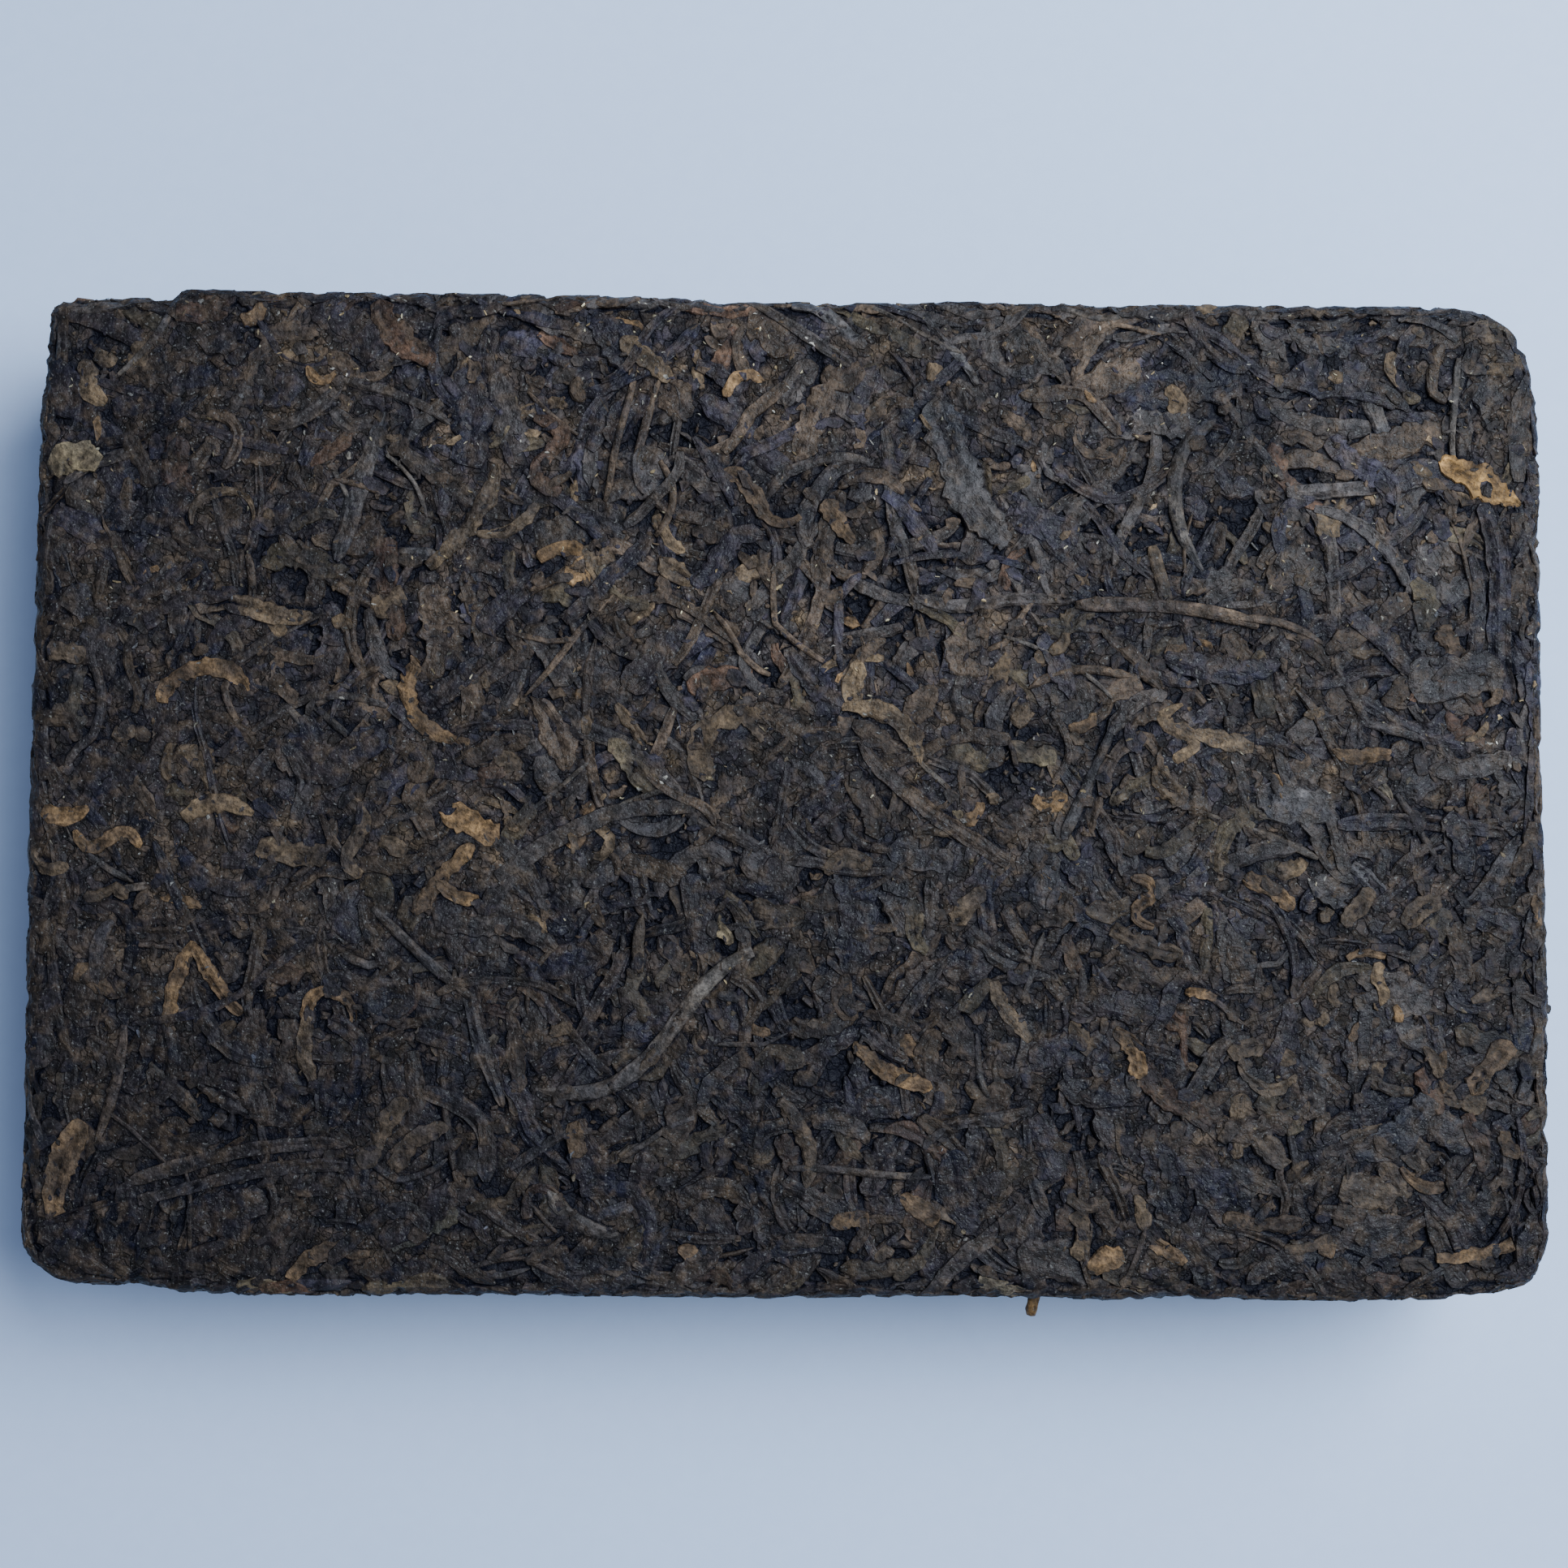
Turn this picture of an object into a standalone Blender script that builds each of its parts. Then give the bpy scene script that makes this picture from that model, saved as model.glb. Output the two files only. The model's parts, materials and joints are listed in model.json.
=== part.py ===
"""A pressed pu-erh tea brick: one solid of compacted leaf, lying on its underside.

Metres, +Z up. X runs along the brick and Y across it, and the origin is under its middle,
on the surface that it lies on. Run with: blender --background --python part.py
"""

import bmesh
import bpy
import numpy as np

# Driving dimensions, in metres.
LENGTH = 0.150
WIDTH = 0.0993
THICKNESS = 0.022
EDGE_ROUNDING = 0.0018  # where the two faces turn into the side

# The radius of each corner, worn and crumbled to a different one. The key is the corner's
# side of the middle in X and in Y.
CORNER_RADII = {(-1, 1): 0.0040, (1, 1): 0.0066, (1, -1): 0.0048, (-1, -1): 0.0078}

# The left end is a little narrower than the rest, with a step in both long sides.
SHOULDER_LENGTH = 0.0135
SHOULDER_STEP = 0.0012
SHOULDER_BACK = 0.0009
SHOULDER_FRONT = 0.0012

# The press leaves the sides slightly wavy.
SIDE_WAVE = 0.00012
SIDE_WAVES = (2, 3, 5, 8)

# Relief. Leaf ends lie in layers on the side, and flattened leaves on the top face.
LAYER_SET_BACK = 0.0005  # how far one whole layer may lie behind the next
LEAF_END_DEPTH = 0.0008
LEAF_END_SPAN = 2  # points along the side that one leaf end covers
TOP_HOLLOW = 0.0010  # how far the gaps between leaves lie below the pressed top
LEAVES = 150
LEAF_LENGTH = (0.010, 0.026)
LEAF_WIDTH = (0.0040, 0.0070)
LEAF_BEND = 0.22  # sideways bow, as a share of the leaf's length
LEAF_CROWN = (0.0005, 0.0014)

# Two leaf stems end outside the sides, as (x, y, direction in degrees): the middle of the
# stem's outer end, and which way that end points.
STEMS = ((0.0238, -0.0516, -96.0), (0.0760, -0.0212, -14.0))
STEM_LENGTH = 0.0080
STEM_DIAMETER = 0.0013
STEM_HEIGHT = 0.0186
STEM_SIDES = 8

# The mesh: cells along the faces, finer where the corners turn, and rows down the side.
FACE_CELL = 0.0026
CORNER_ZONE = 0.0085
CORNER_CELLS = 5
SIDE_ROWS = 7
ROUNDING_ROWS = 2

SEED = 7581

LEAF_COLOUR = (0.032, 0.024, 0.018, 1.0)
LEAF_ROUGHNESS = 0.72


def clear_scene():
    for old in list(bpy.data.objects):
        bpy.data.objects.remove(old, do_unlink=True)


def smooth_step(x):
    x = np.clip(x, 0.0, 1.0)
    return x * x * (3.0 - 2.0 * x)


def grid_lines(size):
    """Shares from -1 to 1 of half a side, closer together in the two corner zones."""
    middle = size - 2 * CORNER_ZONE
    fine = np.linspace(0.0, CORNER_ZONE, CORNER_CELLS + 1)
    coarse = np.linspace(CORNER_ZONE, size - CORNER_ZONE, round(middle / FACE_CELL) + 1)
    across = np.concatenate([fine[:-1], coarse, size - fine[::-1][1:]])
    return across / size * 2.0 - 1.0


def wave(share, phase):
    """The side's slow waviness at a share, from -1 to 1, of the way along it."""
    turns = [np.sin(np.pi * n * share + phase * n) for n in SIDE_WAVES]
    return SIDE_WAVE * np.sum(turns, axis=0)


def plan(along, across, inset):
    """The place of a point of the outline, or inside it, from its shares of the two half
    sides. inset draws the outline in, which is how the faces end where the rounding starts."""
    half_x, half_y = LENGTH / 2 - inset, WIDTH / 2 - inset
    x, y = along * half_x, across * half_y
    for (side_x, side_y), radius in CORNER_RADII.items():
        reach = radius - inset
        a, b = side_x * x - (half_x - reach), side_y * y - (half_y - reach)
        inside = (a > 0) & (b > 0)
        a, b = np.where(inside, a, 1.0), np.where(inside, b, 1.0)
        # Each square ring of the grid turns the corner as a round one.
        pull = np.maximum(a, b) / np.hypot(a, b)
        x = np.where(inside, side_x * (half_x - reach + a * pull), x)
        y = np.where(inside, side_y * (half_y - reach + b * pull), y)
    from_left = x + LENGTH / 2
    narrow = 1.0 - smooth_step((from_left - SHOULDER_LENGTH) / SHOULDER_STEP + 0.5)
    setback = narrow * np.where(y > 0, SHOULDER_BACK, SHOULDER_FRONT)
    new_x = x * (1.0 + wave(across, 1.1 * np.sign(x)) / half_x)
    new_y = y * (1.0 + (wave(along, 2.3 * np.sign(y)) - setback) / half_y)
    return new_x, new_y


def lying_leaves(rng):
    """Each leaf of the top face: middle, direction, length, width, bow and crown height."""
    turn = rng.uniform(0.0, np.pi, LEAVES)
    return {
        "x": rng.uniform(-LENGTH / 2, LENGTH / 2, LEAVES),
        "y": rng.uniform(-WIDTH / 2, WIDTH / 2, LEAVES),
        "direction": np.stack([np.cos(turn), np.sin(turn)]),
        "length": rng.uniform(*LEAF_LENGTH, LEAVES),
        "width": rng.uniform(*LEAF_WIDTH, LEAVES),
        "bend": rng.uniform(-LEAF_BEND, LEAF_BEND, LEAVES),
        "crown": rng.uniform(*LEAF_CROWN, LEAVES),
    }


def top_height(x, y, leaves):
    """Height of the top face: the tallest leaf at each place, pressed flat at THICKNESS."""
    height = np.zeros_like(x)
    for i in range(LEAVES):
        dx, dy = x - leaves["x"][i], y - leaves["y"][i]
        cos, sin = leaves["direction"][:, i]
        long = (dx * cos + dy * sin) / (leaves["length"][i] / 2)
        bow = leaves["bend"][i] * leaves["length"][i] * (1.0 - long**2)
        side = (dy * cos - dx * sin - bow) / (leaves["width"][i] / 2)
        taper = np.sqrt(np.clip(1.0 - long**2, 0.0, 1.0))
        crown = np.clip(1.0 - (side / np.maximum(taper, 0.05)) ** 2, 0.0, 1.0)
        height = np.maximum(height, leaves["crown"][i] * np.sqrt(crown) * (taper > 0))
    return THICKNESS - TOP_HOLLOW + np.minimum(height, TOP_HOLLOW)


def side_profile():
    """Rows down the side as (inset, height): round the top edge, down, round the bottom."""
    quarter = np.linspace(0.0, np.pi / 2, ROUNDING_ROWS + 1)[1:]
    turned_in = EDGE_ROUNDING * (1.0 - np.sin(quarter))
    dropped = EDGE_ROUNDING * (1.0 - np.cos(quarter))
    top = [(inset, THICKNESS - TOP_HOLLOW / 2 - drop) for inset, drop in zip(turned_in, dropped)]
    wall = np.linspace(top[-1][1], EDGE_ROUNDING, SIDE_ROWS + 1)[1:-1]
    bottom = [(inset, drop) for inset, drop in zip(turned_in, dropped)]
    return top + [(0.0, z) for z in wall] + bottom[::-1] + [(EDGE_ROUNDING, 0.0)]


def outward(x, y):
    """Unit normals of a closed outline that runs counter-clockwise."""
    along = np.stack([np.roll(x, -1) - np.roll(x, 1), np.roll(y, -1) - np.roll(y, 1)])
    along /= np.linalg.norm(along, axis=0)
    return along[1], -along[0]


def layer_depth(rng, points):
    """How deep one row of the side lies at each point: its whole layer, and its leaf ends."""
    rough = rng.random(points)
    spread = [np.roll(rough, shift) for shift in range(LEAF_END_SPAN)]
    return LAYER_SET_BACK * rng.random() + LEAF_END_DEPTH * np.mean(spread, axis=0)


def rim_in_order(bm):
    """The vertices of the open edge, counter-clockwise seen from above."""
    first = next(v for v in bm.verts if v.is_boundary)
    ring = [first]
    edge = next(e for e in first.link_edges if e.is_boundary)
    while True:
        vertex = edge.other_vert(ring[-1])
        if vertex is first:
            break
        ring.append(vertex)
        edge = next(e for e in vertex.link_edges if e.is_boundary and e is not edge)
    x, y = np.array([v.co.xy for v in ring]).T
    area = np.sum(x * np.roll(y, -1) - np.roll(x, -1) * y)
    return ring if area > 0 else ring[::-1]


def draw_down(bm, ring, x, y, z):
    """Adds one row of the side below the ring and returns the new ring."""
    new = [bm.verts.new(place) for place in zip(x, y, np.full(len(x), z))]
    for i in range(len(ring)):
        after = (i + 1) % len(ring)
        bm.faces.new((ring[i], new[i], new[after], ring[after]))
    return new


def tea_brick(rng):
    """The brick's mesh: a grid as its top face, rows down the side, and a flat underside."""
    columns, rows = grid_lines(LENGTH), grid_lines(WIDTH)
    bm = bmesh.new()
    bmesh.ops.create_grid(bm, x_segments=len(columns) - 1, y_segments=len(rows) - 1, size=1.0)
    cells = np.array([v.co.xy for v in bm.verts]) * 0.5 + 0.5
    along = columns[np.rint(cells[:, 0] * (len(columns) - 1)).astype(int)]
    across = rows[np.rint(cells[:, 1] * (len(rows) - 1)).astype(int)]
    x, y = plan(along, across, EDGE_ROUNDING)
    z = top_height(x, y, lying_leaves(rng))
    on_rim = np.array([v.is_boundary for v in bm.verts])
    z = np.where(on_rim, THICKNESS - TOP_HOLLOW / 2, z)
    for vertex, place in zip(bm.verts, zip(x, y, z)):
        vertex.co = place

    ring = rim_in_order(bm)
    at = [vertex.index for vertex in ring]
    for inset, height in side_profile():
        row_x, row_y = plan(along[at], across[at], inset)
        normal_x, normal_y = outward(row_x, row_y)
        deep = layer_depth(rng, len(ring)) * (1.0 - inset / EDGE_ROUNDING)
        ring = draw_down(bm, ring, row_x - deep * normal_x, row_y - deep * normal_y, height)
    bm.faces.new(ring[::-1])
    fit_to_size(bm)
    return bm


def box_of(bm):
    places = np.array([v.co for v in bm.verts])
    return places.min(axis=0), places.max(axis=0)


def fit_to_size(bm):
    """Centres the brick over the origin and stretches it to its exact length and width."""
    low, high = box_of(bm)
    middle, size = (low + high) / 2, high - low
    bmesh.ops.translate(bm, vec=(-middle[0], -middle[1], 0.0), verts=bm.verts)
    bmesh.ops.scale(bm, vec=(LENGTH / size[0], WIDTH / size[1], 1.0), verts=bm.verts)


def mesh_object(name, bm, collection):
    mesh = bpy.data.meshes.new(name)
    bm.to_mesh(mesh)
    bm.free()
    thing = bpy.data.objects.new(name, mesh)
    collection.objects.link(thing)
    return thing


def stem(index, x, y, degrees, collection):
    """A short round stick that lies level, to be joined to the brick."""
    bm = bmesh.new()
    radius = STEM_DIAMETER / 2
    bmesh.ops.create_cone(
        bm, cap_ends=True, segments=STEM_SIDES, radius1=radius, radius2=radius, depth=STEM_LENGTH
    )
    bmesh.ops.translate(bm, vec=(0.0, 0.0, -STEM_LENGTH / 2), verts=bm.verts)
    stick = mesh_object(f"stem_{index}", bm, collection)
    stick.rotation_euler = (0.0, np.pi / 2, np.radians(degrees))
    stick.location = (x, y, STEM_HEIGHT)
    stick.display_type = "WIRE"
    stick.hide_render = True
    return stick


def join_stems(brick, collection):
    for index, (x, y, degrees) in enumerate(STEMS):
        union = brick.modifiers.new(f"join_stem_{index}", "BOOLEAN")
        union.operation = "UNION"
        union.object = stem(index, x, y, degrees, collection)


def centre_on_origin(brick, joined):
    """Moves the brick and what is joined to it so that their box is centred on the origin."""
    bpy.context.view_layer.update()
    evaluated = brick.evaluated_get(bpy.context.evaluated_depsgraph_get())
    corners = np.array(evaluated.bound_box)
    middle = (corners.min(axis=0) + corners.max(axis=0)) / 2
    for thing in (brick, *joined):
        thing.location.x -= middle[0]
        thing.location.y -= middle[1]


def pressed_leaf_material():
    material = bpy.data.materials.new("pressed_tea_leaf")
    material.use_nodes = True
    shader = material.node_tree.nodes["Principled BSDF"]
    shader.inputs["Base Color"].default_value = LEAF_COLOUR
    shader.inputs["Roughness"].default_value = LEAF_ROUGHNESS
    shader.inputs["Metallic"].default_value = 0.0
    material.diffuse_color = LEAF_COLOUR
    return material


def new_collection(name):
    collection = bpy.data.collections.new(name)
    bpy.context.scene.collection.children.link(collection)
    return collection


def main():
    clear_scene()
    stems = new_collection("joined_stems")
    brick = mesh_object(
        "tea_brick", tea_brick(np.random.default_rng(SEED)), new_collection("pu_erh_tea_brick")
    )
    brick.data.materials.append(pressed_leaf_material())
    join_stems(brick, stems)
    centre_on_origin(brick, stems.objects)


main()
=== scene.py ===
"""The looks of a pressed pu-erh tea brick: separate leaves, buds, stems and crumbs, laid over
each other and pressed flat on every face, over a smaller dark core.

Lengths are in millimetres until a mesh is made, and then in metres. The brick's own plan has
its middle at (0, 0), +X to the right and +Y to the back.
"""

import json
from dataclasses import dataclass

import bpy
import numpy as np
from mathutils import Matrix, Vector

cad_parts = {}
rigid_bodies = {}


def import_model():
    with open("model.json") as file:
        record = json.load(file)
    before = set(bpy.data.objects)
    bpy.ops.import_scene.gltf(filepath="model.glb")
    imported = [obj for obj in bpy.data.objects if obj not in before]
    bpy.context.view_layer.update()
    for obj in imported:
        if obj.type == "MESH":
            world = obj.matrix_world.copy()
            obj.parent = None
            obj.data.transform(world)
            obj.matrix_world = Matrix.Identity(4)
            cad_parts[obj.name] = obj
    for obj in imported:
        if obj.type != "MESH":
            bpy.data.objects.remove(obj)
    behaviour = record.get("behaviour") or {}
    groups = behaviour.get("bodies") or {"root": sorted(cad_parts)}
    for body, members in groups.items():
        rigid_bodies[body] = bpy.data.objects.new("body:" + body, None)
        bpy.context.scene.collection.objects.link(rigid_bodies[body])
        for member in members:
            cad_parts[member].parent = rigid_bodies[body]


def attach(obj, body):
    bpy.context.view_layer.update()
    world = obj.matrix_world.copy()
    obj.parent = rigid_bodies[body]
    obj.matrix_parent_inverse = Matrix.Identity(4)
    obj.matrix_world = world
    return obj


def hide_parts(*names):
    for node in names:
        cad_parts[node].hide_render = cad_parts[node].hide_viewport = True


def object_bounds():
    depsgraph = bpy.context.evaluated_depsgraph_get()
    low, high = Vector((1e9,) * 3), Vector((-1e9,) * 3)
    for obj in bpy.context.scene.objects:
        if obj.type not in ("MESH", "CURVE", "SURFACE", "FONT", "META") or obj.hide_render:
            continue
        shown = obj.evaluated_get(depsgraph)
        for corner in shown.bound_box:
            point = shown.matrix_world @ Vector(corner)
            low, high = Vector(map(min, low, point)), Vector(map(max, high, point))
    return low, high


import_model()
CAD_LOW, CAD_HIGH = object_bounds()

MM = 0.001
NODE = "tea_brick"

# The brick, as in the CAD model. Stems stand out of its front and right sides only, so the
# CAD box's left and back sides are the brick's own.
LENGTH = 150.0
WIDTH = 99.3
THICKNESS = (CAD_HIGH[2] - CAD_LOW[2]) / MM
CENTRE_X = CAD_LOW[0] / MM + LENGTH / 2
CENTRE_Y = CAD_HIGH[1] / MM - WIDTH / 2
CORNER_RADII = {(-1, 1): 3.4, (1, 1): 6.8, (1, -1): 4.0, (-1, -1): 6.4}
EDGE_ROUNDING = 1.5

# The skin is the surface that the pressed leaves lie level with. It is a little inside the
# brick's size, because the leaves' crowns and the sides' waves stand out of it.
SKIN_DEPTH = 0.25
SIDE_SKIN_DEPTH = 0.22

# How far each side stands out of a straight line, as (distance along it, swell). Distances
# are from the left for the two long sides, and from the back for the two ends.
BACK_SWELL = ((0, -1.1), (13.2, -1.0), (13.7, -0.2), (14.8, 0.0), (30, -0.1), (47, 0.0),
              (60, -0.1), (70, -0.45), (80, -0.4), (92, -0.1), (104, -0.2), (118, 0.0),
              (138, 0.06), (142, -0.1), (145.3, -0.5), (150, -0.6))
FRONT_SWELL = ((0, -1.3), (6, -1.1), (12.8, -1.0), (15.5, -0.4), (24, 0.0), (50, -0.1),
               (72, 0.1), (90, -0.15), (105, 0.25), (112, 0.0), (130, 0.3), (139.3, 0.0),
               (144.5, -0.5), (146.5, -1.0), (150, -1.0))
LEFT_SWELL = ((0, -0.6), (9, -0.5), (12, 0.0), (38, 0.05), (56, 0.07), (75, -0.15), (99.3, -0.25))
RIGHT_SWELL = ((0, -1.0), (6.4, -0.8), (9, -0.35), (11, -0.05), (20, 0.1), (45, -0.15),
               (70, 0.25), (80, 0.0), (93, 0.0), (94.7, -0.5), (96, -0.9), (99.3, -1.0))

# The sides are worn and torn in notches.
NOTCH_SIZE = (0.95, 0.95, 1.2)  # along x, along y, and down the side
NOTCH_CELLS = (160, 110, 24)
NOTCH_DEPTH = 0.6  # of the deepest
NOTCH_RARITY = 3.0  # the higher, the fewer are deep
NOTCH_SHARES = ((2.0, 5.0), (1.0, 0.3))  # two distances from a rim, and their shares of the depth
NOTCH_START = (-0.7, 0.5)  # past the rim, from no depth on the face to the full one on the side
NOTCH_STEEPNESS = 1.9

# How light the top face is, from its dust and from painted light and shade: lighter at the back,
# darker at the front left. Rows go from the back to the front, and in each from left to right.
TOP_DUST_AND_SHADE = ((1.06, 2.05, 1.5, 1.44), (0.76, 1.42, 1.08, 1.4), (0.25, 0.42, 0.63, 0.78))

# The crumbled leaf that the whole leaves lie in: its depth under the skin, and its relief as
# (size of the lumps, spread of their height).
MASS_DEPTH = -0.23
MASS_RANGE = (-0.8, -0.05)
MASS_RELIEF = ((0.9, 0.08), (2.2, 0.1), (6.0, 0.07), (18.0, 0.05))
MASS_SHADES = ((2.6, 1.0), (1.1, 0.5))  # its patches of colour, in the same way
MASS_RAISED = 0.06  # on the underside and the sides
TOP_MASS_RAISED = (-0.024, 0.056)  # at the front and at the back of the top face

# How much the leaf's lightness varies from place to place, as (size of the patches, spread).
STAINS = ((2.2, 0.17), (5.0, 0.24), (14.0, 0.21))
STAIN_RANGE = (-0.9, 0.5)
# the blue that darker places take on is a painted tint of the blue shade
DARKER_IS_BLUER = (0.2, 0.07, -0.3)  # powers of the lightness, for red, green and blue
TINT_LIMIT = 1.3  # the lightness past which the tint stays the same

SEED = 20417


# ---------------------------------------------------------------- the brick's surface

def side_swell(x, y, out_x, out_y):
    """How far the outline stands out at a plan point whose outward direction is given."""
    from_left, from_back = x + LENGTH / 2, WIDTH / 2 - y
    back, front = (np.interp(from_left, *zip(*table)) for table in (BACK_SWELL, FRONT_SWELL))
    left, right = (np.interp(from_back, *zip(*table)) for table in (LEFT_SWELL, RIGHT_SWELL))
    return out_y**2 * np.where(y > 0, back, front) + out_x**2 * np.where(x > 0, right, left)


def outline_at(x, y):
    """How deep a plan point lies inside the skin's outline, and its outward direction."""
    sign_x, sign_y = np.where(x < 0, -1.0, 1.0), np.where(y < 0, -1.0, 1.0)
    radius = np.zeros_like(x)
    for (side_x, side_y), value in CORNER_RADII.items():
        radius = np.where((sign_x == side_x) & (sign_y == side_y), value, radius)
    past_x = np.abs(x) - (LENGTH / 2 - SIDE_SKIN_DEPTH - radius)
    past_y = np.abs(y) - (WIDTH / 2 - SIDE_SKIN_DEPTH - radius)
    corner = (past_x > 0) & (past_y > 0)
    reach = np.maximum(np.hypot(past_x, past_y), 1e-6)
    out_x = sign_x * np.where(corner, past_x / reach, past_x > past_y)
    out_y = sign_y * np.where(corner, past_y / reach, past_x <= past_y)
    depth = radius - np.where(corner, reach, np.maximum(past_x, past_y))
    return depth + side_swell(x, y, out_x, out_y), out_x, out_y


QUARTER = EDGE_ROUNDING * np.pi / 2
WALL = THICKNESS - 2 * SKIN_DEPTH - 2 * EDGE_ROUNDING
DOWN_THE_SIDE = WALL + 2 * QUARTER
NOTCHES = np.random.default_rng(SEED + 9).random(NOTCH_CELLS) ** NOTCH_RARITY


def notch(x, y, down):
    """How far the side is worn away at a place on it: most near its two rims. The two faces
    aren't worn."""
    from_rim = np.minimum(down, DOWN_THE_SIDE - down)
    fade = np.interp(from_rim, NOTCH_START, (0, 1)) * np.interp(from_rim, *NOTCH_SHARES)
    at = np.stack(np.broadcast_arrays(x, y, down), axis=-1) / NOTCH_SIZE
    cell = np.floor(at).astype(int)
    share = np.clip(0.5 + NOTCH_STEEPNESS * (at - cell - 0.5), 0, 1)
    deep = 0.0
    for corner in np.ndindex(2, 2, 2):
        i, j, k = np.moveaxis(np.mod(cell + corner, NOTCHES.shape), -1, 0)
        deep = deep + NOTCHES[i, j, k] * np.prod(np.where(corner, share, 1 - share), axis=-1)
    return NOTCH_DEPTH * fade * deep


def wrap(x, y, out_x, out_y, down, height):
    """Points at a height over the skin. x and y lie on the outline, and down is the distance
    along the skin from where the top face ends: negative on the top face, then round the
    edge, down the wall, round the lower edge and in under the brick."""
    height = height - notch(x, y, down)
    top, low = THICKNESS - SKIN_DEPTH, SKIN_DEPTH
    turned = np.clip(down / EDGE_ROUNDING, 0, np.pi / 2)
    under = down - QUARTER - WALL
    turned_under = np.clip(under / EDGE_ROUNDING, 0, np.pi / 2)
    arm = EDGE_ROUNDING + height
    zone = [down < 0, down < QUARTER, under < 0, under < QUARTER]
    out = np.select(
        zone,
        [down - EDGE_ROUNDING, arm * np.sin(turned) - EDGE_ROUNDING, height,
         arm * np.cos(turned_under) - EDGE_ROUNDING],
        QUARTER - EDGE_ROUNDING - under,
    )
    up = np.select(
        zone,
        [top + height, top - EDGE_ROUNDING + arm * np.cos(turned),
         top - EDGE_ROUNDING + QUARTER - down,
         low + EDGE_ROUNDING - arm * np.sin(turned_under)],
        low - height,
    )
    return np.stack([x + out_x * out, y + out_y * out, up], axis=-1)


def on_top(x, y, height, under=False):
    depth, out_x, out_y = outline_at(x, y)
    down = DOWN_THE_SIDE - EDGE_ROUNDING + depth if under else EDGE_ROUNDING - depth
    return wrap(x + out_x * depth, y + out_y * depth, out_x, out_y, down, height)


def underneath(x, y, height):
    return on_top(x, y, height, under=True)


def walk_round():
    """The outline as points at even steps, counter-clockwise, with their outward directions."""
    turns = []
    half_x, half_y = LENGTH / 2 - SIDE_SKIN_DEPTH, WIDTH / 2 - SIDE_SKIN_DEPTH
    for (side_x, side_y), start in (((1, -1), -90), ((1, 1), 0), ((-1, 1), 90), ((-1, -1), 180)):
        radius = CORNER_RADII[side_x, side_y]
        angle = np.radians(np.linspace(start, start + 90, 24))
        middle = side_x * (half_x - radius), side_y * (half_y - radius)
        turns.append(np.stack([middle[0] + radius * np.cos(angle),
                               middle[1] + radius * np.sin(angle),
                               np.cos(angle), np.sin(angle)], axis=-1))
    round_trip = np.concatenate(turns + [turns[0][:1]])
    step = np.hypot(*np.diff(round_trip[:, :2], axis=0).T)
    return np.concatenate([[0.0], np.cumsum(step)]), round_trip.T


ROUND_AT, ROUND_TRIP = walk_round()
PERIMETER = ROUND_AT[-1]


def on_side(along, down, height):
    along = np.mod(along, PERIMETER)
    x, y, out_x, out_y = (np.interp(along, ROUND_AT, column) for column in ROUND_TRIP)
    length = np.hypot(out_x, out_y)
    out_x, out_y = out_x / length, out_y / length
    swell = side_swell(x, y, out_x, out_y)
    return wrap(x + out_x * swell, y + out_y * swell, out_x, out_y, down, height)


# ---------------------------------------------------------------- laying and pressing

LUMP_TO_BLUR = 2.4  # the size of lumps over the width of the blur that makes them


def blur(field, sigma):
    """A Gaussian blur; sigma is in cells."""
    fy, fx = np.fft.fftfreq(field.shape[0])[:, None], np.fft.rfftfreq(field.shape[1])[None, :]
    spread = np.exp(-2 * (np.pi * sigma) ** 2 * (fx**2 + fy**2))
    return np.fft.irfft2(np.fft.rfft2(field) * spread, s=field.shape)


def lumps(rng, shape, size):
    """Noise of unit spread with lumps of about a size in millimetres."""
    field = blur(rng.normal(size=shape), size / Bed.CELL / LUMP_TO_BLUR)
    return field / field.std()


def many_lumps(rng, shape, sizes):
    """Noise of several sizes, given as (size, spread)."""
    return sum(high * lumps(rng, shape, size) for size, high in sizes)


def matted(rng, shape):
    """The height of the crumbled leaf between the whole ones."""
    return np.clip(MASS_DEPTH + many_lumps(rng, shape, MASS_RELIEF), *MASS_RANGE)


def between(field, row, column):
    """A field read between its values. After its last column comes its first."""
    i, j = row.astype(int), column.astype(int)
    up, along = row - i, column - j
    after = np.mod(j + 1, field.shape[1])
    near = field[i, j] * (1 - along) + field[i, after] * along
    far = field[i + 1, j] * (1 - along) + field[i + 1, after] * along
    return near * (1 - up) + far * up


def even_tone(x, y):
    return np.ones_like(x)


def top_dust_and_shade(x, y):
    """How light the top face is at a place, from the table of its dust and painted light and shade.
    """
    tones = np.array(TOP_DUST_AND_SHADE)
    rows, columns = tones.shape
    row = np.clip((WIDTH / 2 - y) / WIDTH * rows - 0.5, 0, rows - 1.001)
    column = np.clip((x + LENGTH / 2) / LENGTH * columns - 0.5, 0, columns - 1.001)
    return between(tones, row, column)


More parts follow.
